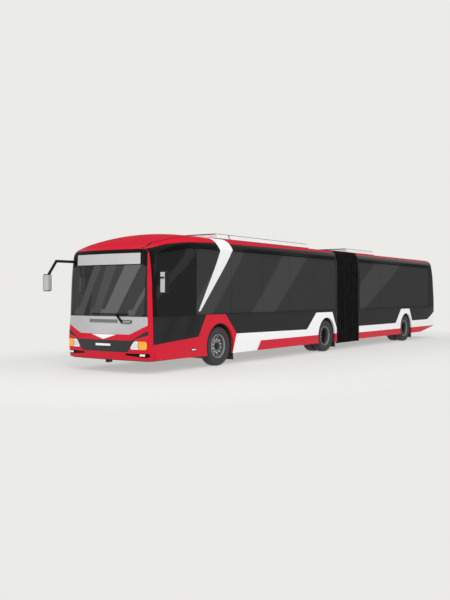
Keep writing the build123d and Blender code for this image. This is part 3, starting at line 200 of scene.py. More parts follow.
AMBER_Y = 0.985  # distance from the middle where the amber part starts
DIVIDER_HALF = 0.006
TAIL_BAR_PITCH = 0.105
TAIL_BAR_HALF = 0.006
TAIL_AMBER = (0.84, 1.05)  # lowest and highest part of the amber
LENS_WHITE = (0.78, 0.79, 0.81, 1.0)
LENS_AMBER = (0.93, 0.40, 0.02, 1.0)
RING_COLOR = (0.52, 0.53, 0.55, 1.0)
LENS_RED = (0.52, 0.010, 0.012, 1.0)
TAIL_AMBER_COLOR = (0.85, 0.30, 0.02, 1.0)
TAIL_BAR_COLOR = (0.12, 0.01, 0.01, 1.0)
MIRROR_INNER_Y = 1.366
MIRROR_OUTER_Y = 1.545
MIRROR_DEPTH = 0.100
DRIVER_HEAD = (0.430, 1.765, 2.240)  # (distance of the back face, bottom, top)
KERB_HEAD = (-0.280, 1.810, 2.205)
FRAME_PATCH = ((-0.235, 0.235), (0.592, 0.658))  # lowest and highest y and z of the number plate's frame
PLATE_PATCH = ((-0.225, 0.225), (0.600, 0.650))
LOUVRES = 5
LOUVRE_LOW = 1.114
LOUVRE_PITCH = 0.0142
LOUVRE_HEIGHT = 0.0105
LOUVRE_Y = (-0.47, 0.39)
LOUVRE_BACK = ((-0.475, 0.395), (1.108, 1.186))
FOG_Y = (1.02, 1.15)
FOG_Z = (0.397, 0.443)
COVER_EDGE = 0.018  # black edge above and below a mirror's cover
MIRROR_COVERS = [  # (lowest y, highest y, distance of the cover's back, head)
    (MIRROR_INNER_Y + 0.014, MIRROR_OUTER_Y - 0.040, 0.345, DRIVER_HEAD),
    (-MIRROR_OUTER_Y + 0.012, -MIRROR_INNER_Y + 0.050, -0.292, KERB_HEAD),
]
WIPER_COVER = ((0.560, 0.776), (1.119, 1.160))  # lowest and highest y and z
RIM_RING = 0.236  # radius outside which a rim is light
RIM_RING_Y = 1.172  # and its least distance from the middle
RIM_DEEP_Y = 1.095  # nearer to the middle than this a rim lies in shade and grime
LEAF_GLASS = (0.41, 2.27)  # lowest and highest part of a door leaf's glass

# ---- Studio ---------------------------------------------------------------------------------------
# Lights: name, place and aim as (metres ahead of the front face, Y, Z), width, height, share of the power.
LIGHTS = [
    ("Key", (10.0, 13.0, 15.0), (-5.0, 0.0, 1.2), 9.0, 9.0, 1.0),
    ("Side fill", (-13.0, 22.0, 10.0), (-10.0, 0.0, 1.4), 16.0, 6.0, 0.9),
    ("Front fill", (17.0, 1.0, 7.0), (0.0, 0.0, 1.5), 7.0, 5.0, 0.42),
    ("Back", (-20.0, -16.0, 12.0), (-9.0, 0.0, 1.5), 10.0, 6.0, 0.35),
]
# Cards that the body mirrors. A table holds two heights z on the body, the lowest and highest part of its
# card, and bands as they lie on the body: (brightness that the reflection adds, (from, to) at the first
# height, (from, to) at the second), as Y on the front face and as distances behind it on the left side.
# Later bands cover earlier ones.
FRONT_BANDS = (1.26, 2.37, 0.30, 2.72, [
    (0.022, (-1.300, 1.300), (-1.300, 1.300)),
    (0.002, (-0.699, -0.496), (-0.744, -0.363)),
    (0.048, (-0.933, -0.705), (-0.388, -0.167)),
    (0.048, (-0.408, -0.188), (0.008, 0.307)),
    (0.105, (-0.080, 0.325), (0.546, 0.979)),
    (0.085, (0.725, 0.836), (1.340, 1.420)),
])
SIDE_BANDS = (1.30, 2.80, 1.27, 3.05, [
    (0.054, (1.500, 2.420), (2.900, 3.815)),
    (0.054, (4.155, 5.325), (5.740, 7.085)),
    (0.054, (9.300, 11.150), (11.980, 14.270)),
    (0.016, (-0.100, 1.760), (-0.100, 1.760)),
    (0.030, (-0.340, -0.050), (1.330, 1.850)),
])
PANEL_BANDS = (0.69, 1.27, 0.69, 1.24, [
    (0.004, (0.511, 0.704), (0.851, 1.101)),
    (0.004, (1.270, 1.480), (1.620, 1.944)),
])
WHOLE_SIDE = (0.100, 18.200)
LOWER_BANDS = (0.30, 1.248, 0.30, 1.248, [(0.046, WHOLE_SIDE, WHOLE_SIDE)])
SILL_BANDS = (1.248, 1.266, 1.248, 1.266, [(0.0, WHOLE_SIDE, WHOLE_SIDE)])
WALL_BANDS = (1.266, 2.795, 1.266, 2.795, [(0.036, WHOLE_SIDE, WHOLE_SIDE)])
LINTEL_BANDS = (2.795, 2.812, 2.795, 2.812, [(0.0, WHOLE_SIDE, WHOLE_SIDE)])
BROW_BANDS = (2.812, 3.13, 2.812, 3.13, [(0.027, WHOLE_SIDE, WHOLE_SIDE)])
CARD_REACH = 2.2  # how far the cards stand from the glass that mirrors them
CARD_BEHIND = 0.1  # how much further out the wide cards stand
CARD_BEFORE = 0.05  # how much nearer the dark cards of sill and lintel stand
CARD_STEP = 0.01  # distance between the cards of one table
CARD_IOR = 1.5
CARD_ROWS = 40
CARD_COLUMNS = 60
FLOOR_PLAIN = 0.5  # least share of the plain backdrop colour on the floor, which lightens the shadow
FLOOR_SHADE = (1.5, 6.5)  # distances from the bus's middle line where the floor goes over to plain
FLOOR_RADII = (0.0, 4.0, 10.0, 20.0, 40.0, 90.0, 250.0)
CAMERA_PLACE = (FRONT_X + 12.06, 11.75, 1.73)
CAMERA_YAW = math.radians(-145.03)  # direction of view about Z, from +X
CAMERA_PITCH = math.radians(-0.4)


# ---- Meshes ---------------------------------------------------------------------------------------
def mesh_object(name, points, faces, smooth=True):
    """Mesh object from an (n, 3) array of points and a list or array of faces, with its place in its mesh."""
    mesh = bpy.data.meshes.new(name)
    mesh.from_pydata(np.asarray(points, float).tolist(), [], [list(map(int, f)) for f in faces])
    mesh.update()
    mesh.polygons.foreach_set("use_smooth", np.full(len(mesh.polygons), smooth))
    obj = bpy.data.objects.new(name, mesh)
    bpy.context.scene.collection.objects.link(obj)
    return obj


def grid_faces(rows, columns, wrap_rows, wrap_columns, first=0):
    """Quads of a rows x columns grid of points, closed round where asked."""
    r = np.arange(rows if wrap_rows else rows - 1)
    c = np.arange(columns if wrap_columns else columns - 1)
    rr, cc = np.meshgrid(r, c, indexing="ij")
    next_r, next_c = (rr + 1) % rows, (cc + 1) % columns
    quads = [rr * columns + cc, rr * columns + next_c, next_r * columns + next_c, next_r * columns + cc]
    return np.stack(quads, -1).reshape(-1, 4) + first


def grid_object(name, points, wrap_rows=False, wrap_columns=False, smooth=True):
    """Surface on a (rows, columns, 3) array of points."""
    rows, columns = points.shape[:2]
    faces = grid_faces(rows, columns, wrap_rows, wrap_columns)
    return mesh_object(name, points.reshape(-1, 3), faces, smooth)


class Soup:
    """Points and faces of several shapes that become one mesh."""

    def __init__(self):
        self.points = []
        self.faces = []
        self.count = 0

    def add(self, points, faces):
        """Take in points and the faces between them."""
        points = np.asarray(points, float).reshape(-1, 3)
        self.points.append(points)
        self.faces.extend([[int(i) + self.count for i in f] for f in faces])
        self.count += len(points)

    def grid(self, points, wrap_rows=False, wrap_columns=False):
        """Take in a surface on a (rows, columns, 3) array of points."""
        rows, columns = points.shape[:2]
        self.add(points, grid_faces(rows, columns, wrap_rows, wrap_columns))

    def object(self, name, smooth=True):
        """Make the mesh object."""
        return mesh_object(name, np.concatenate(self.points), self.faces, smooth)


def frames_along(path):
    """Tangents and two normals at each point of a path, the normals kept from turning."""
    path = np.asarray(path, float)
    tangent = np.gradient(path, axis=0)
    tangent /= np.linalg.norm(tangent, axis=1, keepdims=True)
    reference = np.array([0.0, 0.0, 1.0]) if abs(tangent[0][2]) < 0.9 else np.array([0.0, 1.0, 0.0])
    side = np.cross(tangent, reference)
    side /= np.linalg.norm(side, axis=1, keepdims=True)
    return tangent, side, np.cross(side, tangent)


def tube_points(path, profile):
    """A closed (n, 2) profile carried along a path: path point + u * side + v * normal."""
    _, side, normal = frames_along(path)
    u, v = profile[:, 0], profile[:, 1]
    path = np.asarray(path, float)
    return path[:, None, :] + u[None, :, None] * side[:, None, :] + v[None, :, None] * normal[:, None, :]


def add_tube(soup, path, profile):
    """Tube along a path with flat ends."""
    points = tube_points(path, profile)
    rows, columns = points.shape[:2]
    faces = [list(f) for f in grid_faces(rows, columns, False, True)]
    faces.append(list(range(columns))[::-1])
    faces.append([(rows - 1) * columns + i for i in range(columns)])
    soup.add(points, faces)


def circle(radius, sides=12):
    """Round profile: radius * (cos, sin) at equal angles."""
    angle = np.linspace(0, 2 * np.pi, sides, endpoint=False)
    return np.stack([radius * np.cos(angle), radius * np.sin(angle)], -1)


def round_rectangle(width, height, radius, corner=4):
    """Rectangle with quarter-circle corners, as a closed profile."""
    points = []
    for k, (sx, sy) in enumerate(((1, 1), (-1, 1), (-1, -1), (1, -1))):
        angle = np.linspace(k * np.pi / 2, (k + 1) * np.pi / 2, corner + 1)
        centre = np.array([sx * (width / 2 - radius), sy * (height / 2 - radius)])
        points.append(centre + radius * np.stack([np.cos(angle), np.sin(angle)], -1))
    return np.concatenate(points)


def add_box(soup, low, high, bevel=0.0):
    """Box between two corners, its long edges rounded by carrying a round rectangle along X."""
    low, high = np.asarray(low, float), np.asarray(high, float)
    size = high - low
    centre = (low + high) / 2
    radius = bevel if bevel else 1e-4
    path = [(x, centre[1], centre[2]) for x in (low[0], centre[0], high[0])]
    add_tube(soup, path, round_rectangle(size[1], size[2], min(radius, size[1] / 2.01, size[2] / 2.01)))


def lathe_points(profile, centre, segments):
    """A profile of (radius, offset along Y) turned about the Y axis through centre."""
    profile = np.asarray(profile, float)
    angle = np.linspace(0, 2 * np.pi, segments, endpoint=False)
    radius, offset = profile[:, 0], profile[:, 1]
    x = centre[0] + np.outer(np.cos(angle), radius)
    z = centre[2] + np.outer(np.sin(angle), radius)
    y = centre[1] + np.broadcast_to(offset, x.shape)
    return np.stack([x, y, z], -1)


def outward(obj):
    """Turn all faces of a closed mesh outwards, after merging doubles."""
    shape = bmesh.new()
    shape.from_mesh(obj.data)
    bmesh.ops.remove_doubles(shape, verts=shape.verts, dist=1e-6)
    bmesh.ops.recalc_face_normals(shape, faces=shape.faces)
    shape.to_mesh(obj.data)
    shape.free()
    return obj


# ---- Shader nodes ---------------------------------------------------------------------------------
class Tree:
    """Short ways to add and link nodes of one node tree."""

    def __init__(self, tree):
        self.tree = tree

    def node(self, kind, **values):
        """New node with some of its properties set."""
        made = self.tree.nodes.new(kind)
        for key, value in values.items():
            setattr(made, key, value)
        return made

    def feed(self, socket, value):
        """Link a socket to a socket, or set its plain value."""
        if isinstance(value, bpy.types.NodeSocket):
            self.tree.links.new(value, socket)
        elif value is not None:
            socket.default_value = value

    def math(self, operation, *values):
        """One step of arithmetic."""
        made = self.node("ShaderNodeMath", operation=operation)
        for socket, value in zip(made.inputs, values):
            self.feed(socket, value)
        return made.outputs[0]

    def mix(self, factor, a, b):
        """Colour from a to b by a factor."""
        made = self.node("ShaderNodeMix", data_type="RGBA")
        self.feed(made.inputs["Factor"], factor)
        self.feed(made.inputs[6], a)
        self.feed(made.inputs[7], b)
        return made.outputs[2]

    def times(self, a, b):
        """a * b."""
        return self.math("MULTIPLY", a, b)

    def plus(self, a, b):
        """a + b."""
        return self.math("ADD", a, b)

    def minus(self, a, b):
        """a - b."""
        return self.math("SUBTRACT", a, b)

    def scaled(self, value, factor, start):
        """value * factor + start."""
        return self.math("MULTIPLY_ADD", value, factor, start)

    def above(self, value, limit):
        """1 where a value is greater than a limit."""
        return self.math("GREATER_THAN", value, limit)

    def below(self, value, limit):
        """1 where a value is less than a limit."""
        return self.math("LESS_THAN", value, limit)

    def length(self, u, v):
        """Square root of u * u + v * v."""
        square = self.plus(self.math("POWER", u, 2.0), self.math("POWER", v, 2.0))
        return self.math("SQRT", square)

    def apart(self, value, middle):
        """How far a value is from a middle one: |value - middle|."""
        return self.math("ABSOLUTE", self.minus(value, middle))

    def beyond(self, value, limit):
        """How far a value is past a limit, 0 before it."""
        return self.math("MAXIMUM", self.minus(value, limit), 0.0)

    def between(self, value, low, high):
        """1 where a value lies between two limits."""
        return self.times(self.above(value, low), self.below(value, high))

    def rest(self, share):
        """What a share leaves of 1."""
        return self.minus(1.0, share)

    def object_place(self):
        """Object coordinates."""
        return self.node("ShaderNodeTexCoord").outputs["Object"]

    def noise(self, vector, scale, detail=3.0, roughness=0.5):
        """Noise from 0 to 1."""
        made = self.node("ShaderNodeTexNoise")
        self.feed(made.inputs["Vector"], vector)
        made.inputs["Scale"].default_value = scale
        made.inputs["Detail"].default_value = detail
        made.inputs["Roughness"].default_value = roughness
        return made.outputs["Fac"]

    def ramp(self, value, low, high):
        """0 to 1 as a value goes from low to high."""
        made = self.node("ShaderNodeMapRange")
        self.feed(made.inputs["Value"], value)
        made.inputs["From Min"].default_value = low
        made.inputs["From Max"].default_value = high
        return made.outputs["Result"]

    def inside(self, u, v, outline):
        """1 inside a convex outline: every edge has the point on its left."""
        result = None
        for (u0, v0), (u1, v1) in zip(outline, outline[1:] + outline[:1]):
            du, dv = u1 - u0, v1 - v0
            part = self.scaled(u, -dv, dv * u0 - du * v0)
            part = self.scaled(v, du, part)
            part = self.above(part, 0.0)
            result = part if result is None else self.times(result, part)
        return result


def group(name, inputs, outputs):
    """Empty shader node group with named inputs and outputs: (name, socket type, default)."""
    tree = bpy.data.node_groups.new(name, "ShaderNodeTree")
    for label, kind, default in inputs:
        socket = tree.interface.new_socket(label, in_out="INPUT", socket_type=kind)
        if default is not None:
            socket.default_value = default
    for label, kind in outputs:
        tree.interface.new_socket(label, in_out="OUTPUT", socket_type=kind)
    maker = Tree(tree)
    return maker, maker.node("NodeGroupInput"), maker.node("NodeGroupOutput")


def use_group(maker, name, **values):
    """Place a group in a tree and feed its inputs; underscores in a key stand for spaces."""
    made = maker.node("ShaderNodeGroup", node_tree=bpy.data.node_groups[name])
    for key, value in values.items():
        maker.feed(made.inputs[key.replace("_", " ")], value)
    return made


def split_position(maker):
    """Object coordinates and their X, Y and Z."""
    coordinates = maker.object_place()
    separate = maker.node("ShaderNodeSeparateXYZ")
    maker.feed(separate.inputs[0], coordinates)
    return coordinates, separate.outputs[0], separate.outputs[1], separate.outputs[2]


def make_surface_groups():
    """Groups shared by the materials: fine bump and road dust."""
    maker, source, result = group(
        "Fine bump",
        [
            ("Scale", "NodeSocketFloat", 400.0),
            ("Strength", "NodeSocketFloat", 0.05),
            ("Distance", "NodeSocketFloat", 0.001),
        ],
        [("Normal", "NodeSocketVector")],
    )
    noise = maker.node("ShaderNodeTexNoise")
    maker.feed(noise.inputs["Vector"], maker.object_place())
    maker.feed(noise.inputs["Scale"], source.outputs["Scale"])
    noise.inputs["Detail"].default_value = 4.0
    bump = maker.node("ShaderNodeBump")
    maker.feed(bump.inputs["Strength"], source.outputs["Strength"])
    maker.feed(bump.inputs["Distance"], source.outputs["Distance"])
    maker.feed(bump.inputs["Height"], noise.outputs["Fac"])
    maker.feed(result.inputs["Normal"], bump.outputs["Normal"])

    maker, source, result = group(
        "Road dust",
        [("Amount", "NodeSocketFloat", 0.3), ("Height", "NodeSocketFloat", 0.8)],
        [("Mask", "NodeSocketFloat")],
    )
    position, _, _, height = split_position(maker)
    low = maker.rest(maker.math("DIVIDE", height, source.outputs["Height"]))
    low = maker.math("MAXIMUM", low, 0.0)
    cloud = maker.ramp(maker.noise(position, 3.0, 5.0, 0.6), 0.35, 0.75)
    mask = maker.times(low, cloud)
    maker.feed(result.inputs["Mask"], maker.times(mask, source.outputs["Amount"]))


def opaque(color):
    """Colour with its alpha of 1."""
    return tuple(color) + (1.0,)


def grey(level):
    """Neutral colour of one level."""
    return (level, level, level, 1.0)


def settle(shader, **values):
    """Set plain values on a shader's own sockets; underscores in a key stand for spaces."""
    for key, value in values.items():
        shader.inputs[key.replace("_", " ")].default_value = value


def add_bump(maker, shader, scale, strength, distance=0.001):
    """Give a shader the shared fine bump."""
    bump = use_group(maker, "Fine bump", Scale=scale, Strength=strength, Distance=distance)
    maker.feed(shader.inputs["Normal"], bump.outputs["Normal"])


def principled(name):
    """New material with its Principled shader and a tree to build in."""
    material = bpy.data.materials.new(name)
    material.use_nodes = True
    maker = Tree(material.node_tree)
    return material, maker, material.node_tree.nodes["Principled BSDF"]


def simple_material(
    name, color, roughness, metallic=0.0, coat=0.0, grain=(300.0, 0.03, 0.001), vary=0.06, level=0.5
):
    """Material of one colour with a little variation in colour and roughness and a fine bump."""
    material, maker, shader = principled(name)
    position = maker.object_place()
    cloud = maker.noise(position, 6.0, 4.0)
    dark = tuple(c * (1 - vary) for c in color[:3]) + (1.0,)
    light = tuple(min(c * (1 + vary) + vary * 0.01, 1.0) for c in color[:3]) + (1.0,)
    maker.feed(shader.inputs["Base Color"], maker.mix(cloud, dark, light))
    spread = maker.scaled(cloud, 0.12, roughness - 0.06)
    maker.feed(shader.inputs["Roughness"], spread)
    settle(shader, Metallic=metallic, Coat_Weight=coat, Coat_Roughness=0.08, Specular_IOR_Level=level)
    add_bump(maker, shader, *grain)
    return material


def paint_colors():
    """Colours of the livery by name."""
    look = bpy.context.scene.bus_paint
    return {
        "red": opaque(look.red),
        "white": opaque(look.white),
        "dark": opaque(look.dark),
        "band": opaque(look.band),
        "seam": SEAM_COLOR,
    }


def make_livery_group():
    """Body colour by place: side-view outlines behind the front face's depth, front-view ones ahead of it."""
    colors = paint_colors()
    maker, _, result = group("Livery", [], [("Color", "NodeSocketColor"), ("Glossy", "NodeSocketFloat")])
    _, x, y, z = split_position(maker)
    distance = maker.minus(FRONT_X, x)
    color = colors["white"]
    glossy = 0.0
    for name, outline in SIDE_LIVERY:
        mask = maker.inside(distance, z, outline)
        color = maker.mix(mask, color, colors[name])
        if name in GLOSSY_PAINTS:
            glossy = maker.math("MAXIMUM", glossy, mask)
        else:
            glossy = maker.times(glossy, maker.rest(mask))
    front_color = colors["red"]
    for name, outline in FRONT_LIVERY:
        front_color = maker.mix(maker.inside(y, z, outline), front_color, colors[name])
    ahead = maker.below(distance, FRONT_VIEW_DEPTH)
    maker.feed(result.inputs["Color"], maker.mix(ahead, color, front_color))
    maker.feed(result.inputs["Glossy"], maker.times(glossy, maker.rest(ahead)))


def livery_paint():
    """Paint in the livery's colours, dusty low down, dull on the roof and glossier on the dark panels."""
    material, maker, shader = principled("Livery paint")
    _, _, _, z = split_position(maker)
    livery = use_group(maker, "Livery")
    dust = use_group(maker, "Road dust", Amount=0.12, Height=0.7)
    color = maker.mix(dust.outputs["Mask"], livery.outputs["Color"], DUST_COLOR)
    maker.feed(shader.inputs["Base Color"], color)
    rough = maker.scaled(dust.outputs["Mask"], 0.5, PAINT_ROUGHNESS)
    climb = maker.math("MINIMUM", maker.math("DIVIDE", maker.beyond(z, DULL_START), DULL_RISE), 1.0)
    dull = maker.times(climb, maker.rest(livery.outputs["Glossy"]))
    rough = maker.scaled(dull, DULL_ROUGHNESS, rough)
    rough = maker.scaled(livery.outputs["Glossy"], GLOSS_ROUGHNESS, rough)
    maker.feed(shader.inputs["Roughness"], rough)
    settle(shader, Specular_IOR_Level=0.12)
    add_bump(maker, shader, 60.0, 0.02)
    return material


def make_pane_group():
    """Clear parts of the side panes: rounded rectangles of one height, by their distance function."""
    maker, _, result = group("Clear panes", [], [("Mask", "NodeSocketFloat"), ("Flash", "NodeSocketFloat")])
    _, x, y, z = split_position(maker)
    distance = maker.minus(FRONT_X, x)
    sides = []
    for panes in (LEFT_PANES, RIGHT_PANES):
        nearest = None
        for start, end in panes:
            away = maker.apart(distance, (start + end) / 2)
            away = maker.minus(away, (end - start) / 2 - CLEAR_SIDE - CLEAR_CORNER)
            nearest = away if nearest is None else maker.math("MINIMUM", nearest, away)
        sides.append(maker.math("MAXIMUM", nearest, 0.0))
    left = maker.above(y, 0.0)
    on_left = maker.times(sides[0], left)
    along = maker.scaled(sides[1], maker.rest(left), on_left)
    upright = maker.apart(z, (CLEAR_LOW + CLEAR_HIGH) / 2)
    upright = maker.beyond(upright, (CLEAR_HIGH - CLEAR_LOW) / 2 - CLEAR_CORNER)
    maker.feed(result.inputs["Mask"], maker.below(maker.length(along, upright), CLEAR_CORNER))
    flash = 0.0
    for _, outline in FLASH:
        flash = maker.math("MAXIMUM", flash, maker.inside(distance, z, outline))
    maker.feed(result.inputs["Flash"], flash)


def film_glass():
    """Tinted side glass with a black border and the livery's white flash printed on it."""
    material, maker, shader = principled("Side glass")
    look = bpy.context.scene.bus_paint
    panes = use_group(maker, "Clear panes")
    tint = maker.mix(panes.outputs["Mask"], opaque(look.band), opaque(look.glass))
    maker.feed(shader.inputs["Base Color"], maker.mix(panes.outputs["Flash"], tint, opaque(look.white)))
    maker.feed(shader.inputs["Roughness"], maker.scaled(panes.outputs["Flash"], 0.25, 0.04))
    settle(shader, Transmission_Weight=0.12, IOR=1.5)
    return material


def windscreen_glass():
    """Grey glass with a black border: a rounded rectangle, measured by its distance function."""
    material, maker, shader = principled("Windscreen glass")
    position, _, y, z = split_position(maker)
    low, high, half, corner = SCREEN_CLEAR
    away = maker.beyond(maker.math("ABSOLUTE", y), half - corner)
    upright = maker.beyond(maker.apart(z, (low + high) / 2), (high - low) / 2 - corner)
    clear = maker.below(maker.length(away, upright), corner)
    tint = maker.mix(maker.noise(position, 9.0), (0.036, 0.037, 0.036, 1.0), (0.041, 0.042, 0.041, 1.0))
    maker.feed(shader.inputs["Base Color"], maker.mix(clear, grey(0.002), tint))
    settle(shader, Roughness=0.02, Transmission_Weight=0.18, IOR=1.48)
    return material


def grille_material():
    """Dark plastic, with the body's red under the slanted bar of each wing."""
    material, maker, shader = principled("Grille plastic")
    position, _, y, z = split_position(maker)
    across = maker.math("ABSOLUTE", y)
    wing = maker.inside(across, z, WING_RED)
    red = opaque(bpy.context.scene.bus_paint.red)
    plastic = maker.mix(maker.noise(position, 6.0), grey(0.024), grey(0.028))
    maker.feed(shader.inputs["Base Color"], maker.mix(wing, plastic, red))
    settle(shader, Roughness=0.42, Specular_IOR_Level=0.25)
    add_bump(maker, shader, 300.0, 0.03)
    return material


def dress(node, material):
    """Give a CAD node one material."""
    slots = NODES[node].data.materials
    slots.clear()
    slots.append(material)


def paint(obj, material):
    """Give a new piece one material."""
    obj.data.materials.clear()
    obj.data.materials.append(material)
    return obj


def at(distance):
    """X of a place that far behind the front face."""
    return FRONT_X - distance


def side_surface(z):
    """Half width of the body at a height: upright, then the lean's arc and its straight part."""
    arc_top = LEAN_START + LEAN_RADIUS * math.sin(LEAN_ANGLE)
    z = np.asarray(z, float)
    climb = np.maximum(z - LEAN_START, 0)
    on_arc = HALF_WIDTH - (LEAN_RADIUS - np.sqrt(np.maximum(LEAN_RADIUS**2 - climb**2, 0)))
    drawn_in = LEAN_RADIUS * (1 - math.cos(LEAN_ANGLE)) + (z - arc_top) * math.tan(LEAN_ANGLE)
    straight = HALF_WIDTH - drawn_in
    return np.where(z < arc_top, on_arc, straight)


def front_surface(y, z):
    """X of the front face at a place on it, between its corner roundings."""
    z = np.asarray(z, float)
    low = RAKE_AT_BELT * np.maximum(z - RAKE_START, 0) / (BELT - RAKE_START)
    high = RAKE_AT_BELT + (z - BELT) * RAKE_SLOPE
    bow = BOW_RADIUS - np.sqrt(BOW_RADIUS**2 - np.asarray(y, float) ** 2)
    return FRONT_X - np.where(z < BELT, low, high) - bow


# ---- Sizes and colours that a user may change ------------------------------------------------------
def color_property(name, description, default):
    """Colour in a property group."""
    return bpy.props.FloatVectorProperty(
        name=name, description=description, subtype="COLOR", size=3, default=default
    )


class BusPaint(bpy.types.PropertyGroup):
    """Colours of the livery."""

    red: color_property("Red", "Main body colour", (0.60, 0.009, 0.028))
    white: color_property("White", "Colour of the flash and the lower panels", (0.86, 0.86, 0.86))
    dark: color_property("Dark grey", "Colour of the lower dark panels", (0.016, 0.016, 0.016))
    band: color_property("Window band", "Colour round the side glass", (0.003, 0.003, 0.003))
    glass: color_property("Glass", "Tint of the clear side glass", (0.008, 0.008, 0.008))


class BusSizes(bpy.types.PropertyGroup):
    """Sizes of the added pieces."""

    folds: bpy.props.IntProperty(name="Folds", description="Folds of the bellows", default=11, min=6, max=24)
    fold_depth: bpy.props.FloatProperty(
        name="Fold depth", description="Depth of a bellows fold",
        default=0.075, min=0.01, max=0.09, unit="LENGTH",
    )
    tread_depth: bpy.props.FloatProperty(
        name="Tread depth", description="Depth of the tyre's grooves",
        default=0.010, min=0.0, max=0.02, unit="LENGTH",
    )


class StudioSetup(bpy.types.PropertyGroup):
    """Camera and light of the studio."""

    focal: bpy.props.FloatProperty(
        name="Focal length", description="Focal length for a 36 mm sensor",
        default=44.7, min=10, max=200, unit="CAMERA",
    )
    floor_color: color_property("Floor", "Colour of the floor round the bus", (0.86, 0.855, 0.84))
    backdrop: color_property("Backdrop", "Colour behind the bus", (0.835, 0.83, 0.80))
    key_power: bpy.props.FloatProperty(
        name="Key light", description="Power of the key light", default=1700.0, min=0, unit="POWER"
    )
    card_level: bpy.props.FloatProperty(
        name="Card level", description="Brightness of the cards that the glass mirrors", default=1.0, min=0
    )


# ---- Pieces ---------------------------------------------------------------------------------------
def make_bodywork():
    """Livery paint, glass and dark trim on the fixed panels."""
    paint_material = livery_paint()
    for node in (
        "front_left_side", "front_right_side", "rear_left_side", "rear_right_side", "front_cap", "front_roof",
        "rear_roof", "front_mask", "tail_panel", "engine_lid",
    ):
        dress(node, paint_material)
    glass = film_glass()
    for node in ("front_side_windows", "rear_side_windows"):
        dress(node, glass)
    dress("windscreen", windscreen_glass())
    dress("destination_display", simple_material("Display face", grey(0.50), 0.25, level=0.3))
    dress("service_panel", simple_material("Silver paint", grey(0.46), 0.30, metallic=0.15, level=0.3))
    dress("bumper_grille", grille_material())


def make_lamp_materials():
    """Lenses of the lamps: white with two rings and amber outside at the front, red with bars at the tail."""
    material, maker, shader = principled("Headlamp lens")
    _, _, y, z = split_position(maker)
    across = maker.math("ABSOLUTE", y)
    color = maker.mix(maker.above(across, AMBER_Y), LENS_WHITE, LENS_AMBER)
    rings = 0.0
    for middle, radius in HEADLAMP_RINGS:
        reach = maker.length(maker.minus(across, middle), maker.minus(z, RING_Z))
        rings = maker.math("MAXIMUM", rings, maker.below(maker.apart(reach, radius), RING_HALF))
    color = maker.mix(rings, color, RING_COLOR)
    divider = maker.below(maker.apart(across, AMBER_Y), DIVIDER_HALF)
    maker.feed(shader.inputs["Base Color"], maker.mix(divider, color, grey(0.05)))
    settle(shader, Roughness=0.10, Coat_Weight=1.0)
    dress("headlamps", material)

    material, maker, shader = principled("Tail lamp lens")
    _, _, _, z = split_position(maker)
    bar = maker.below(maker.math("PINGPONG", z, TAIL_BAR_PITCH), TAIL_BAR_HALF)
    color = maker.mix(maker.between(z, *TAIL_AMBER), LENS_RED, TAIL_AMBER_COLOR)
    maker.feed(shader.inputs["Base Color"], maker.mix(bar, color, TAIL_BAR_COLOR))
    settle(shader, Roughness=0.12, Coat_Weight=1.0)
    dress("tail_lamps", material)


def mirror_material():
    """Black plastic with light grey covers on the front of both mirror heads."""
    material, maker, shader = principled("Mirror plastic")
    _, x, y, z = split_position(maker)
    cover = 0.0
    for low_y, high_y, back, (_, bottom, top) in MIRROR_COVERS:
        upright = maker.between(z, bottom + COVER_EDGE, top - COVER_EDGE)
        face = maker.times(maker.between(y, low_y, high_y), upright)
        face = maker.times(face, maker.above(x, at(back)))
        cover = maker.math("MAXIMUM", cover, face)
    maker.feed(shader.inputs["Base Color"], maker.mix(cover, grey(0.006), grey(0.46)))
    settle(shader, Roughness=0.38, Specular_IOR_Level=0.2)
    add_bump(maker, shader, 350.0, 0.08)
    return material


def wiper_material():
    """Black wiper with a silver motor cover."""
    material, maker, shader = principled("Wiper")
    position, _, y, z = split_position(maker)
    cover = maker.times(maker.between(y, *WIPER_COVER[0]), maker.between(z, *WIPER_COVER[1]))
    black = maker.mix(maker.noise(position, 20.0), grey(0.002), grey(0.004))
    maker.feed(shader.inputs["Base Color"], maker.mix(cover, black, grey(0.30)))
    settle(shader, Roughness=0.5, Specular_IOR_Level=0.1)
    return material


def rim_material():
    """Rim: light outer ring, darker disc and dark barrel, by radius about the nearest axle and by y."""
    material, maker, shader = principled("Rim paint")
    position, x, y, z = split_position(maker)
    nearest = None
    for distance in AXLES.values():
        away = maker.apart(x, at(distance))
        nearest = away if nearest is None else maker.math("MINIMUM", nearest, away)
    reach = maker.length(nearest, maker.minus(z, HUB_Z))
    across = maker.math("ABSOLUTE", y)
    outer = maker.above(across, RIM_RING_Y)
    ring = maker.times(maker.above(reach, RIM_RING), outer)
    deep = maker.below(across, RIM_DEEP_Y)
    cloud = maker.noise(position, 8.0, 4.0)
    disc = maker.mix(cloud, grey(0.13), grey(0.17))
    edge = maker.mix(cloud, (0.44, 0.44, 0.45, 1.0), (0.52, 0.52, 0.53, 1.0))
    plain = maker.mix(deep, disc, (0.030, 0.030, 0.031, 1.0))
    maker.feed(shader.inputs["Base Color"], maker.mix(ring, plain, edge))
    maker.feed(shader.inputs["Roughness"], maker.scaled(cloud, 0.15, 0.32))
    settle(shader, Metallic=0.2)
    add_bump(maker, shader, 220.0, 0.06)
    return material


def leaf_material():
    """Door leaf: glossy black glass inside its frame, coated metal round it."""
    material, maker, shader = principled("Door leaf")
    _, _, _, z = split_position(maker)
    glass = maker.between(z, *LEAF_GLASS)
    color = maker.mix(glass, (0.016, 0.016, 0.017, 1.0), (0.030, 0.031, 0.031, 1.0))
    maker.feed(shader.inputs["Base Color"], color)
    maker.feed(shader.inputs["Roughness"], maker.scaled(glass, -0.28, 0.36))
    settle(shader, Coat_Weight=0.3)
    add_bump(maker, shader, 250.0, 0.02)
    return material


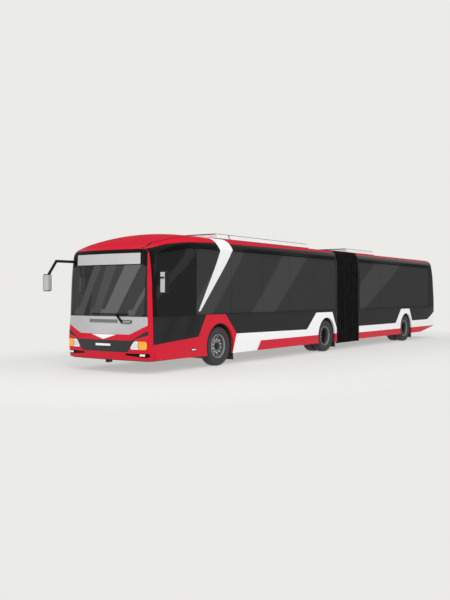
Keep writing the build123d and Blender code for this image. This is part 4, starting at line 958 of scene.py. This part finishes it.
def woven_material(name, color, thread):
    """Cloth with a plain weave: two sine waves of one thread's width as bump and colour."""
    material, maker, shader = principled(name)
    position, x, y, z = split_position(maker)
    first = maker.math("SINE", maker.times(y, 2 * math.pi / thread))
    second = maker.math("SINE", maker.times(maker.plus(x, z), 2 * math.pi / thread))
    weave = maker.scaled(maker.times(first, second), 0.5, 0.5)
    fleck = maker.above(maker.noise(position, 28.0, 2.0), 0.56)
    light = tuple(min(c * 1.9 + 0.02, 1.0) for c in color[:3]) + (1.0,)
    base = maker.mix(maker.times(weave, 0.35), color, light)
    color = maker.mix(maker.times(fleck, 0.6), base, (0.45, 0.05, 0.05, 1.0))
    maker.feed(shader.inputs["Base Color"], color)
    settle(shader, Roughness=0.9, Sheen_Weight=0.3)
    bump = maker.node("ShaderNodeBump")
    bump.inputs["Strength"].default_value = 0.3
    bump.inputs["Distance"].default_value = 0.001
    maker.feed(bump.inputs["Height"], weave)
    maker.feed(shader.inputs["Normal"], bump.outputs["Normal"])
    return material


def make_structure_materials():
    """Finishes of the frame, axles, rims, cab and saloon."""
    black = simple_material("Underframe coating", grey(0.03), 0.65, grain=(120.0, 0.2, 0.002))
    cast = simple_material("Cast axle", grey(0.05), 0.6, grain=(200.0, 0.3, 0.001))
    floor = simple_material("Saloon floor", (0.12, 0.12, 0.13, 1.0), 0.6, grain=(500.0, 0.2, 0.001))
    rim = rim_material()
    seat = woven_material("Moquette", (0.03, 0.06, 0.16, 1.0), 0.006)
    rail = simple_material("Rail coating", (0.80, 0.52, 0.03, 1.0), 0.3, coat=0.3)
    dash = simple_material("Dashboard plastic", (0.04, 0.04, 0.042, 1.0), 0.55)
    housing = simple_material("Roof housing", grey(0.82), 0.5)
    engine = simple_material("Engine casting", (0.16, 0.16, 0.17, 1.0), 0.6, grain=(150.0, 0.4, 0.002))
    table = {
        "front_underframe": black, "rear_underframe": black, "turntable_base": black, "turntable_ring": floor,
        "front_axle": cast, "middle_axle": cast, "rear_axle": cast,
        "knuckle_left": cast, "knuckle_right": cast,
        "front_seats": seat, "rear_seats": seat, "front_handrails": rail, "rear_handrails": rail,
        "dashboard": dash, "front_roof_units": housing, "rear_roof_units": housing, "engine_block": engine,
        "mirrors": mirror_material(), "wipers": wiper_material(), "front_wheel_housings": black,
        "rear_wheel_housings": black, "cab_platform": floor,
    }
    leaf = leaf_material()
    for node, material in table.items():
        dress(node, material)
    for node in NODES:
        if node.endswith("_leaf"):
            dress(node, leaf)
        if node.endswith("_rim") or node.endswith("_rims"):
            dress(node, rim)


def finish(soup, name, material, body="front_section", smooth=True):
    """Make a piece from a soup, paint it and let it ride on a body."""
    piece = paint(outward(soup.object(name, smooth=smooth)), material)
    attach(piece, body)
    return piece


def wheel_body(axle, name):
    """Body that the wheels at one end of an axle turn with."""
    return f"wheel_front_{name}" if axle == "front" else f"wheels_{axle}_{name}"


def tyre_surface(centre, tread_depth):
    """Lathed tyre: carcass profile (radius, offset) with the radius lowered in ribs and slanted sipes."""
    crown = np.linspace(-CROWN_HALF, CROWN_HALF, 53)
    profile = [(r, -o) for r, o in TYRE_WALL]
    profile += [(TYRE_RADIUS - CROWN_DROP * (abs(c) / CROWN_HALF) ** 4, c) for c in crown]
    profile += [(r, o) for r, o in reversed(TYRE_WALL)]
    profile = np.array(profile)
    points = lathe_points(profile, centre, TYRE_SEGMENTS)
    first = len(TYRE_WALL)
    last = first + len(crown)
    angle = np.linspace(0, 2 * np.pi, TYRE_SEGMENTS, endpoint=False)[:, None]
    offset = crown[None, :]
    groove = np.zeros((TYRE_SEGMENTS, len(crown)))
    for middle in GROOVES:
        groove = np.maximum(groove, np.clip(1.6 - np.abs(offset - middle) / GROOVE_HALF, 0, 1))
    wave = np.abs(((angle * SIPES / (2 * np.pi) + np.abs(offset) * 14) % 1.0) - 0.5)
    sipe = np.clip(1.4 - wave / 0.09, 0, 1) * (np.abs(offset) > 0.07)
    groove = np.maximum(groove, sipe)
    radius = profile[first:last, 0][None, :] - groove * tread_depth
    points[:, first:last, 0] = centre[0] + np.cos(angle) * radius
    points[:, first:last, 2] = centre[2] + np.sin(angle) * radius
    return points


def make_tyres():
    """Tyres with tread, one piece for each wheel position."""
    depth = bpy.context.scene.bus_sizes.tread_depth
    rubber = simple_material("Tyre rubber", grey(0.035), 0.8, grain=(250.0, 0.25, 0.001), vary=0.15)
    for side, name in ((1, "left"), (-1, "right")):
        for axle, distance in AXLES.items():
            soup = Soup()
            if axle == "front":
                places = [side * STEER_WHEEL_Y]
            else:
                places = [side * OUTER_TWIN_Y, side * (OUTER_TWIN_Y - TWIN_SPACING)]
            for y in places:
                points = tyre_surface((at(distance), y, HUB_Z), depth)
                soup.grid(points, wrap_rows=True, wrap_columns=True)
            node = f"front_{name}_tyre" if axle == "front" else f"{axle}_{name}_tyres"
            tyre = finish(soup, f"{axle}_{name}_tyre_tread", rubber, wheel_body(axle, name))
            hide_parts(node)


def make_wheel_trim():
    """Wheel nuts and hub covers."""
    steel = simple_material("Nut steel", (0.80, 0.80, 0.81, 1.0), 0.30, metallic=0.3)
    dark = simple_material("Hub casting", (0.02, 0.02, 0.021, 1.0), 0.5, grain=(200.0, 0.3, 0.001), level=0.2)
    for side, name in ((1, "left"), (-1, "right")):
        for axle, distance in AXLES.items():
            wheel_y, disc, hub_end = SINGLE_WHEEL if axle == "front" else OUTER_TWIN
            y = side * wheel_y
            body = wheel_body(axle, name)
            soup = Soup()
            for i in range(NUTS):
                turn = 2 * math.pi * i / NUTS + math.pi / NUTS
                x = at(distance) + NUT_CIRCLE * math.cos(turn)
                z = HUB_Z + NUT_CIRCLE * math.sin(turn)
                start = y + side * (disc + 0.030)
                path = [(x, start + side * share * NUT_LENGTH, z) for share in (0.0, 0.5, 1.0)]
                add_tube(soup, path, circle(NUT_RADIUS, 6))
            nuts = finish(soup, f"{axle}_{name}_wheel_nuts", steel, body, smooth=False)
            profile = [
                (0.0, hub_end + 0.006), (0.050, hub_end + 0.005), (0.064, hub_end), (0.084, hub_end - 0.018),
                (0.084, disc + 0.05), (0.078, disc + 0.05), (0.0, disc + 0.05),
            ]
            profile = [(radius, side * offset) for radius, offset in profile]
            cover = Soup()
            cover.grid(lathe_points(profile, (at(distance), y, HUB_Z), 40), wrap_rows=True)
            hub = finish(cover, f"{axle}_{name}_hub_cover", dark, body)


def arch_outline(inset, count):
    """Half outline of the bellows in (y, z), from the bottom of one side over the roof to the other."""
    half = HALF_WIDTH - inset
    top = BELLOWS_TOP - inset
    shoulder_y, shoulder_z = BELLOWS_SHOULDER[0] - inset, BELLOWS_SHOULDER[1] - inset
    knots = [(half, BELLOWS_LOW.z), (half, 2.55), (half - 0.012, 2.72), (shoulder_y + 0.010, 2.95)]
    turn = np.linspace(0.12, 1.45, 8)
    bend = BELLOWS_BEND
    corner = [(shoulder_y - bend + bend * math.cos(t), shoulder_z - 0.11 + bend * math.sin(t)) for t in turn]
    roof = [(shoulder_y - 0.35, top - 0.03), (0.0, top)]
    right = knots + corner + roof
    outline = np.array(right + [(-y, z) for y, z in reversed(right[:-1])])
    length = np.concatenate([[0], np.cumsum(np.hypot(*np.diff(outline, axis=0).T))])
    places = np.linspace(0, length[-1], count)
    return np.stack([np.interp(places, length, outline[:, k]) for k in (0, 1)], -1)


def bellows_material():
    """Black coated cloth with a painted highlight on the crests of its folds, broken up by noise, by the
    piece's own attribute.
    """
    material, maker, shader = principled("Bellows cloth")
    crest = maker.node("ShaderNodeAttribute", attribute_name="crest").outputs["Fac"]
    position = maker.object_place()
    # painted highlight: paler on the fold crests, patchy by noise
    crest_highlight = maker.times(crest, maker.ramp(maker.noise(position, 7.0, 4.0), 0.15, 0.75))
    maker.feed(shader.inputs["Base Color"], maker.mix(crest_highlight, grey(0.0015), grey(0.022)))
    settle(shader, Roughness=0.6, Specular_IOR_Level=0.05)
    add_bump(maker, shader, 900.0, 0.25, 0.0005)
    return material


def make_bellows():
    """Folded cloth over the joint: an arch carried along X with its inset waved, given a wall by Solidify."""
    sizes = bpy.context.scene.bus_sizes
    steps = sizes.folds * 8
    x = np.linspace(BELLOWS_LOW.x + FRAME_WIDTH, BELLOWS_HIGH.x - FRAME_WIDTH, steps + 1)
    phase = np.linspace(0, sizes.folds, steps + 1)
    wave = 0.5 - 0.5 * np.cos(2 * np.pi * phase)
    sharp = 1 - np.abs(1 - 2 * (phase % 1.0))
    inset = 0.010 + sizes.fold_depth * (0.75 * sharp + 0.25 * wave)
    crest = arch_outline(0.0, 120)
    inward = np.array(BELLOWS_CENTRE) - crest
    inward[:, 1] = np.where(crest[:, 1] < 2.7, 0, inward[:, 1])
    inward /= np.linalg.norm(inward, axis=1, keepdims=True)
    points = np.empty((steps + 1, len(crest), 3))
    points[:, :, 0] = x[:, None]
    points[:, :, 1] = crest[None, :, 0] + inset[:, None] * inward[None, :, 0]
    points[:, :, 2] = crest[None, :, 1] + inset[:, None] * inward[None, :, 1]
    cloth = grid_object("bellows_cloth", points)
    solid = cloth.modifiers.new("Cloth thickness", "SOLIDIFY")
    solid.thickness = CLOTH_THICKNESS
    solid.offset = 0
    bpy.context.view_layer.objects.active = cloth
    cloth.select_set(True)
    bpy.ops.object.modifier_apply(modifier=solid.name)
    cloth.select_set(False)
    outward(cloth)
    place = np.empty(len(cloth.data.vertices) * 3)
    cloth.data.vertices.foreach_get("co", place)
    turns = (place[::3] - x[0]) / (x[-1] - x[0]) * sizes.folds
    # crest: share of the painted highlight, 1 on a fold's crest and 0 in its valley
    highlight_share = cloth.data.attributes.new("crest", "FLOAT", "POINT")
    highlight_share.data.foreach_set("value", np.abs(1 - 2 * (turns % 1.0)) ** 2)
    paint(cloth, bellows_material())
    end = (BELLOWS_LOW.x + 0.06, 0, 1.5)
    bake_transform(cloth)
    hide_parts("bellows")
    metal = simple_material("Bellows frame", (0.035, 0.035, 0.036, 1.0), 0.45, level=0.3)
    count = 90
    for body, x_low in (("front_section", BELLOWS_HIGH.x - FRAME_WIDTH), ("rear_section", BELLOWS_LOW.x)):
        columns = [(x_low, 0.004), (x_low + FRAME_WIDTH, 0.004), (x_low + FRAME_WIDTH, 0.040), (x_low, 0.040)]
        rings = []
        for place, inset_in in columns:
            outline = arch_outline(inset_in, count)
            rings.append(np.column_stack([np.full(len(outline), place), outline]))
        points = np.stack(rings, 1)
        soup = Soup()
        faces = [list(f) for f in grid_faces(count, 4, False, True)]
        end = 4 * count - 1
        faces += [[0, 1, 2, 3], [end, end - 1, end - 2, end - 3]]
        soup.add(points, faces)
        finish(soup, f"{body}_bellows_frame", metal, body, smooth=False)


def front_patch(y_range, z_range, lift, rows=12, columns=24):
    """Grid on the front face: y and z between their ends, x from the face's formula plus a lift."""
    y = np.linspace(*y_range, columns)[None, :] + np.zeros((rows, 1))
    z = np.linspace(*z_range, rows)[:, None] + np.zeros((1, columns))
    x = front_surface(y, z) + lift
    return np.stack([x, y, z], -1)


def add_slab(soup, front, thickness):
    """Closed slab: a grid, the same grid moved back by the thickness, and the rim between them."""
    rows, columns = front.shape[:2]
    back = front.copy()
    back[..., 0] -= thickness
    faces = [list(f) for f in grid_faces(rows, columns, False, False)]
    count = rows * columns
    faces += [[i + count for i in reversed(f)] for f in faces]
    rim = [c for c in range(columns)] + [r * columns + columns - 1 for r in range(1, rows)]
    rim += [(rows - 1) * columns + c for c in range(columns - 2, -1, -1)]
    rim += [r * columns for r in range(rows - 2, 0, -1)]
    for i, a in enumerate(rim):
        b = rim[(i + 1) % len(rim)]
        faces.append([a, a + count, b + count, b])
    soup.add(np.concatenate([front.reshape(-1, 3), back.reshape(-1, 3)]), faces)


def make_front_trim():
    """Blank number plate with its frame, the service panel's dark grille, and the fog lamps."""
    plate_white = simple_material("Blank plate", grey(0.80), 0.35, coat=0.3, vary=0.02)
    frame_black = simple_material("Plate frame", grey(0.02), 0.45)
    louvre = simple_material("Louvre plastic", grey(0.155), 0.5)
    lens = simple_material("Fog lens", (0.80, 0.80, 0.78, 1.0), 0.08, coat=1.0)
    soup = Soup()
    add_slab(soup, front_patch(*FRAME_PATCH, 0.010), 0.012)
    finish(soup, "plate_frame", frame_black, smooth=False)
    soup = Soup()
    add_slab(soup, front_patch(*PLATE_PATCH, 0.014), 0.005)
    finish(soup, "blank_plate", plate_white, smooth=False)
    soup = Soup()
    for i in range(LOUVRES):
        z = LOUVRE_LOW + i * LOUVRE_PITCH
        add_slab(soup, front_patch(LOUVRE_Y, (z, z + LOUVRE_HEIGHT), 0.004, rows=3), 0.006)
    add_slab(soup, front_patch(*LOUVRE_BACK, 0.0012, rows=4), 0.004)
    finish(soup, "service_louvres", louvre, smooth=False)
    soup = Soup()
    for side in (1, -1):
        y_ends = tuple(sorted(side * y for y in FOG_Y))
        add_slab(soup, front_patch(y_ends, FOG_Z, -0.004, rows=8, columns=10), 0.018)
    finish(soup, "fog_lenses", lens)


def make_mirror_glass():
    """Mirror plates on the back faces of both heads: thin slabs with rounded outlines."""
    silver, maker, shader = principled("Mirror glass")
    settle(shader, Base_Color=(0.85, 0.86, 0.88, 1.0), Metallic=1.0)
    cloud = maker.noise(maker.object_place(), 30.0)
    maker.feed(shader.inputs["Roughness"], maker.scaled(cloud, 0.03, 0.02))
    soup = Soup()
    for side, (distance, low, high) in ((1, DRIVER_HEAD), (-1, KERB_HEAD)):
        middle_y = side * (MIRROR_INNER_Y + MIRROR_OUTER_Y) / 2
        middle_z = (low + high) / 2
        profile = round_rectangle(MIRROR_OUTER_Y - MIRROR_INNER_Y - 0.026, high - low - 0.030, 0.030, 6)
        x = at(distance)
        path = [(x + step, middle_y, middle_z) for step in (0.002, -0.001, -0.004)]
        add_tube(soup, path, profile)
    finish(soup, "mirror_glass", silver, smooth=False)
    black = simple_material("Mirror strap", grey(0.006), 0.4, level=0.2)
    soup = Soup()
    x = at(DRIVER_HEAD[0] - MIRROR_DEPTH) + 0.004
    low = (x - 0.006, MIRROR_INNER_Y + 0.004, 2.082)
    high = (x + 0.010, MIRROR_INNER_Y + 0.125, 2.118)
    add_box(soup, low, high, 0.006)
    finish(soup, "mirror_strap", black)


def make_markers():
    """Side marker lamp: an oval lens in a dark oval seat."""
    seat = simple_material("Marker seat", grey(0.006), 0.45, level=0.2)
    lens = simple_material("Marker lens", (0.88, 0.87, 0.84, 1.0), 0.10, coat=1.0)
    turn = np.linspace(0, 2 * np.pi, 28, endpoint=False)
    shape = np.abs(np.cos(turn)) ** 0.7 * np.sign(np.cos(turn)), np.sin(turn)
    parts = (("seat", seat, 0.230, 0.062, 0.005), ("lens", lens, 0.176, 0.030, 0.011))
    for name, material, width, height, out in parts:
        soup = Soup()
        for distance, side in MARKERS:
            profile = np.stack([shape[0] * width / 2, shape[1] * height / 2], -1)
            y = side * HALF_WIDTH
            path = [(at(distance), y - side * 0.003, MARKER_Z), (at(distance), y + side * out, MARKER_Z)]
            add_tube(soup, path, profile)
        finish(soup, f"marker_{name}", material)


def make_roof_trim():
    """Dark edging of the roof units: round strips along their upper edges, and a gasket round their feet."""
    rubber = simple_material("Unit edging", grey(0.012), 0.5, level=0.2)
    for body, units in (("front_section", ROOF_UNITS[:2]), ("rear_section", ROOF_UNITS[2:])):
        soup = Soup()
        for start, end in units:
            for half, at_top in ((UNIT_TOP_HALF, True), (UNIT_FOOT_HALF, False)):
                ends = (at(start) - 0.004, at(end) + 0.004)
                corners = [(ends[0], half), (ends[0], -half), (ends[1], -half), (ends[1], half)]
                for (x0, y0), (x1, y1) in zip(corners, corners[1:] + corners[:1]):
                    share = np.linspace(0, 1, 24)
                    x, y = x0 + (x1 - x0) * share, y0 + (y1 - y0) * share
                    if at_top:
                        z = np.full(len(share), UNIT_TOP_Z)
                    else:
                        z = ROOF_CROWN - ROOF_RADIUS + np.sqrt(ROOF_RADIUS**2 - y**2) + 0.004
                    add_tube(soup, np.stack([x, y, z], -1), circle(EDGING_RADIUS, 8))
        finish(soup, f"{body}_unit_edging", rubber, body)


def make_mudflaps():
    """Rubber flaps behind the wheels: sheets that bend back at the foot, with upright half-wave ribs."""
    rubber = simple_material("Flap rubber", grey(0.018), 0.8, grain=(200.0, 0.3, 0.001))
    for body, axles in (("front_section", ("front", "middle")), ("rear_section", ("rear",))):
        soup = Soup()
        for axle in axles:
            distance = AXLES[axle] + FLAP_BEHIND
            for side in (1, -1):
                inner = FLAP_INNER_SINGLE if axle == "front" else FLAP_INNER_TWIN
                y = np.linspace(side * inner, side * FLAP_OUTER, 40)
                z = np.linspace(FLAP_BOTTOM, FLAP_TOP, 16)
                yy, zz = np.meshgrid(y, z)
                wave = np.cos(2 * np.pi * (np.abs(yy) - inner) / FLAP_RIB_PITCH)
                rib = FLAP_RIB * np.maximum(wave, 0)
                sway = FLAP_SWAY * ((FLAP_TOP - zz) / (FLAP_TOP - FLAP_BOTTOM)) ** 2
                front = np.stack([at(distance) + rib - sway, yy, zz], -1)
                add_slab(soup, front, FLAP_THICKNESS)
        finish(soup, f"{body}_mudflaps", rubber, body)


def area_light(name, place, turn, width, height, power):
    """Rectangular light; power in watts."""
    data = bpy.data.lights.new(name, "AREA")
    data.shape = "RECTANGLE"
    data.size = width
    data.size_y = height
    data.energy = power
    lamp = bpy.data.objects.new(name, data)
    bpy.context.scene.collection.objects.link(lamp)
    lamp.location = place
    lamp.rotation_euler = turn
    return lamp


def make_floor():
    """Flat round floor: rings of points at growing radii, shaded near the bus and plain further out."""
    setup = bpy.context.scene.bus_studio
    pale = opaque(setup.backdrop)
    material, maker, shader = principled("Studio floor")
    maker.feed(shader.inputs["Base Color"], opaque(setup.floor_color))
    settle(shader, Roughness=0.9, Specular_IOR_Level=0.0)
    _, x, y, _ = split_position(maker)
    past = maker.beyond(maker.math("ABSOLUTE", x), CAD_BOX[1].x - FLOOR_SHADE[0])
    away = maker.length(past, y)
    plain = maker.node("ShaderNodeEmission")
    plain.inputs["Color"].default_value = pale
    rays = maker.node("ShaderNodeLightPath")
    share = maker.math("MAXIMUM", maker.ramp(away, *FLOOR_SHADE), FLOOR_PLAIN)
    share = maker.math("MAXIMUM", share, rays.outputs["Is Glossy Ray"])
    share = maker.math("MAXIMUM", share, rays.outputs["Is Transmission Ray"])
    blend = maker.node("ShaderNodeMixShader")
    maker.feed(blend.inputs[0], share)
    maker.feed(blend.inputs[1], shader.outputs[0])
    maker.feed(blend.inputs[2], plain.outputs[0])
    maker.feed(material.node_tree.nodes["Material Output"].inputs["Surface"], blend.outputs[0])
    radius = np.array(FLOOR_RADII)
    angle = np.linspace(0, 2 * np.pi, 72, endpoint=False)
    points = np.zeros((len(angle), len(radius), 3))
    points[:, :, 0] = np.outer(np.cos(angle), radius)
    points[:, :, 1] = np.outer(np.sin(angle), radius)
    floor = grid_object("studio_floor", points, wrap_rows=True)
    paint(floor, material)


def mirrored_card(surface, axis, place, band, heights):
    """Grid where the camera's rays, mirrored at a band on the glass, meet a plane.

    The mirrored ray is ray - 2 (ray . n) n, with n the glass's normal. With the points comes 1 / F for each,
    F being the glass's Fresnel reflectance at that angle.
    """
    low, high, bottom, top = heights
    _, (a0, a1), (b0, b1) = band
    z = np.linspace(bottom, top, CARD_ROWS)[:, None]
    share = (z - low) / (high - low)
    start, end = a0 + (b0 - a0) * share, a1 + (b1 - a1) * share
    along = start + (end - start) * np.linspace(0, 1, CARD_COLUMNS)[None, :]
    z = np.broadcast_to(z, along.shape)
    step = 1e-4
    points = surface(along, z)
    normal = np.cross(surface(along + step, z) - points, surface(along, z + step) - points)
    normal /= np.linalg.norm(normal, axis=-1, keepdims=True)
    ray = points - np.array(CAMERA_PLACE)
    ray /= np.linalg.norm(ray, axis=-1, keepdims=True)
    facing = (ray * normal).sum(-1, keepdims=True)
    bounce = ray - 2 * facing * normal
    reach = (place - points[..., axis]) / bounce[..., axis]
    cosine = np.abs(facing[..., 0])
    inside = np.sqrt(CARD_IOR**2 - 1 + cosine**2)
    across = ((cosine - inside) / (cosine + inside)) ** 2
    level = ((CARD_IOR**2 * cosine - inside) / (CARD_IOR**2 * cosine + inside)) ** 2
    return points + reach[..., None] * bounce, 2 / (across + level)


def make_cards():
    """Cards beside the bus that the body mirrors, most as slanted bands; only reflections show them."""

    def screen(y, z):
        """Points on the front face."""
        return np.stack([front_surface(y, z), y, z], -1)

    def wall(distance, z):
        """Points on the left side."""
        return np.stack([at(distance), side_surface(z), z], -1)

    material = bpy.data.materials.new("Card")
    material.use_nodes = True
    maker = Tree(material.node_tree)
    material.node_tree.nodes.remove(material.node_tree.nodes["Principled BSDF"])
    glow = maker.node("ShaderNodeEmission")
    level = maker.node("ShaderNodeAttribute", attribute_name="glow")
    maker.feed(glow.inputs["Strength"], level.outputs["Fac"])
    maker.feed(material.node_tree.nodes["Material Output"].inputs["Surface"], glow.outputs[0])
    for name, surface, axis, place, table in (
        ("front", screen, 0, FRONT_X + CARD_REACH, FRONT_BANDS),
        ("lower", wall, 1, HALF_WIDTH + CARD_REACH + CARD_BEHIND, LOWER_BANDS),
        ("sill", wall, 1, HALF_WIDTH + CARD_REACH - CARD_BEFORE, SILL_BANDS),
        ("lintel", wall, 1, HALF_WIDTH + CARD_REACH - CARD_BEFORE, LINTEL_BANDS),
        ("wall", wall, 1, HALF_WIDTH + CARD_REACH + CARD_BEHIND, WALL_BANDS),
        ("brow", wall, 1, HALF_WIDTH + CARD_REACH + CARD_BEHIND, BROW_BANDS),
        ("side", wall, 1, HALF_WIDTH + CARD_REACH, SIDE_BANDS),
        ("panel", wall, 1, HALF_WIDTH + CARD_REACH, PANEL_BANDS),
    ):
        for i, band in enumerate(table[4]):
            points, gain = mirrored_card(surface, axis, place - CARD_STEP * i, band, table[:4])
            card = grid_object(f"{name}_card_{i}", points)
            glow_level = card.data.attributes.new("glow", "FLOAT", "POINT")
            wanted = band[0] * bpy.context.scene.bus_studio.card_level
            glow_level.data.foreach_set("value", (gain * wanted).ravel())
            paint(card, material)
            for kind in ("camera", "diffuse", "transmission", "volume_scatter", "shadow"):
                setattr(card, f"visible_{kind}", False)


def make_world():
    """World: pale where the camera sees it, in reflections and through glass, soft white as light."""
    setup = bpy.context.scene.bus_studio
    world = bpy.data.worlds.new("Studio world")
    world.use_nodes = True
    bpy.context.scene.world = world
    maker = Tree(world.node_tree)
    background = world.node_tree.nodes["Background"]
    rays = maker.node("ShaderNodeLightPath")
    seen = maker.math("MAXIMUM", rays.outputs["Is Camera Ray"], rays.outputs["Is Glossy Ray"])
    seen = maker.math("MAXIMUM", seen, rays.outputs["Is Transmission Ray"])
    pale = opaque(setup.backdrop)
    maker.feed(background.inputs["Color"], maker.mix(seen, (0.60, 0.61, 0.63, 1.0), pale))
    background.inputs["Strength"].default_value = 1.0


def make_studio():
    """Floor, lights, world and camera."""
    setup = bpy.context.scene.bus_studio
    scene = bpy.context.scene
    make_floor()
    make_world()
    for name, place, aim, width, height, share in LIGHTS:
        place = Vector((FRONT_X + place[0], place[1], place[2]))
        aim = Vector((FRONT_X + aim[0], aim[1], aim[2]))
        turn = (aim - place).to_track_quat("-Z", "Y").to_euler()
        lamp = area_light(name, place, turn, width, height, setup.key_power * share)
        lamp.visible_glossy = False
    make_cards()
    camera_data = bpy.data.cameras.new("Studio camera")
    camera_data.sensor_width = 36.0
    camera_data.lens = setup.focal
    camera_data.clip_end = 500.0
    camera = bpy.data.objects.new("Studio camera", camera_data)
    scene.collection.objects.link(camera)
    camera.location = CAMERA_PLACE
    camera.rotation_euler = Euler((math.pi / 2 + CAMERA_PITCH, 0.0, CAMERA_YAW - math.pi / 2), "XYZ")
    scene.camera = camera
    scene.view_settings.view_transform = "Standard"


# ---- Operators ------------------------------------------------------------------------------------
class BUS_OT_groups(bpy.types.Operator):
    """Build the shared shader groups."""

    bl_idname = "bus.groups"
    bl_label = "Shader groups"

    def execute(self, context):
        make_surface_groups()
        make_livery_group()
        make_pane_group()
        return {"FINISHED"}


class BUS_OT_bodywork(bpy.types.Operator):
    """Paint the panels and glaze the windows."""

    bl_idname = "bus.bodywork"
    bl_label = "Bodywork"

    def execute(self, context):
        make_bodywork()
        return {"FINISHED"}


class BUS_OT_lamps(bpy.types.Operator):
    """Make the lens materials of the lamps."""

    bl_idname = "bus.lamps"
    bl_label = "Lamps"

    def execute(self, context):
        make_lamp_materials()
        return {"FINISHED"}


class BUS_OT_structure(bpy.types.Operator):
    """Finish the frame, axles, cab and saloon."""

    bl_idname = "bus.structure"
    bl_label = "Structure"

    def execute(self, context):
        make_structure_materials()
        return {"FINISHED"}


class BUS_OT_tyres(bpy.types.Operator):
    """Make the tyres with their tread."""

    bl_idname = "bus.tyres"
    bl_label = "Tyres"

    def execute(self, context):
        make_tyres()
        return {"FINISHED"}


class BUS_OT_wheel_trim(bpy.types.Operator):
    """Make the wheel nuts and hub covers."""

    bl_idname = "bus.wheel_trim"
    bl_label = "Wheel trim"

    def execute(self, context):
        make_wheel_trim()
        return {"FINISHED"}


class BUS_OT_front_trim(bpy.types.Operator):
    """Make the blank plate, louvres and fog lamps."""

    bl_idname = "bus.front_trim"
    bl_label = "Front trim"

    def execute(self, context):
        make_front_trim()
        return {"FINISHED"}


class BUS_OT_mirror_glass(bpy.types.Operator):
    """Make the mirror plates of both heads."""

    bl_idname = "bus.mirror_glass"
    bl_label = "Mirror glass"

    def execute(self, context):
        make_mirror_glass()
        return {"FINISHED"}


class BUS_OT_markers(bpy.types.Operator):
    """Make the side marker lamps."""

    bl_idname = "bus.markers"
    bl_label = "Side markers"

    def execute(self, context):
        make_markers()
        return {"FINISHED"}


class BUS_OT_roof_trim(bpy.types.Operator):
    """Make the dark edging of the roof units."""

    bl_idname = "bus.roof_trim"
    bl_label = "Roof trim"

    def execute(self, context):
        make_roof_trim()
        return {"FINISHED"}


class BUS_OT_mudflaps(bpy.types.Operator):
    """Make the rubber flaps behind the wheels."""

    bl_idname = "bus.mudflaps"
    bl_label = "Mudflaps"

    def execute(self, context):
        make_mudflaps()
        return {"FINISHED"}


class BUS_OT_bellows(bpy.types.Operator):
    """Make the folded cloth over the joint."""

    bl_idname = "bus.bellows"
    bl_label = "Bellows"

    def execute(self, context):
        make_bellows()
        return {"FINISHED"}


class BUS_OT_studio(bpy.types.Operator):
    """Set up the floor, lights, cards and camera."""

    bl_idname = "bus.studio"
    bl_label = "Studio"

    def execute(self, context):
        make_studio()
        return {"FINISHED"}


OPERATORS = [
    BUS_OT_groups,
    BUS_OT_bodywork,
    BUS_OT_lamps,
    BUS_OT_structure,
    BUS_OT_tyres,
    BUS_OT_wheel_trim,
    BUS_OT_front_trim,
    BUS_OT_mirror_glass,
    BUS_OT_markers,
    BUS_OT_roof_trim,
    BUS_OT_mudflaps,
    BUS_OT_bellows,
    BUS_OT_studio,
]


class BUS_PT_panel(bpy.types.Panel):
    """Lists the operators in the sidebar."""

    bl_label = "Articulated bus"
    bl_idname = "BUS_PT_panel"
    bl_space_type = "VIEW_3D"
    bl_region_type = "UI"
    bl_category = "Bus"

    def draw(self, context):
        for item in OPERATORS:
            self.layout.operator(item.bl_idname)


CLASSES = [BusPaint, BusSizes, StudioSetup] + OPERATORS + [BUS_PT_panel]


def register():
    """Register the classes and hang the property groups on the scene."""
    for item in CLASSES:
        bpy.utils.register_class(item)
    bpy.types.Scene.bus_paint = bpy.props.PointerProperty(type=BusPaint)
    bpy.types.Scene.bus_sizes = bpy.props.PointerProperty(type=BusSizes)
    bpy.types.Scene.bus_studio = bpy.props.PointerProperty(type=StudioSetup)


def unregister():
    """Undo register."""
    del bpy.types.Scene.bus_studio
    del bpy.types.Scene.bus_sizes
    del bpy.types.Scene.bus_paint
    for item in reversed(CLASSES):
        bpy.utils.unregister_class(item)


def main():
    """Build everything in order."""
    register()
    for item in OPERATORS:
        name = item.bl_idname.split(".")[1]
        getattr(bpy.ops.bus, name)()


if __name__ == "__main__":
    main()
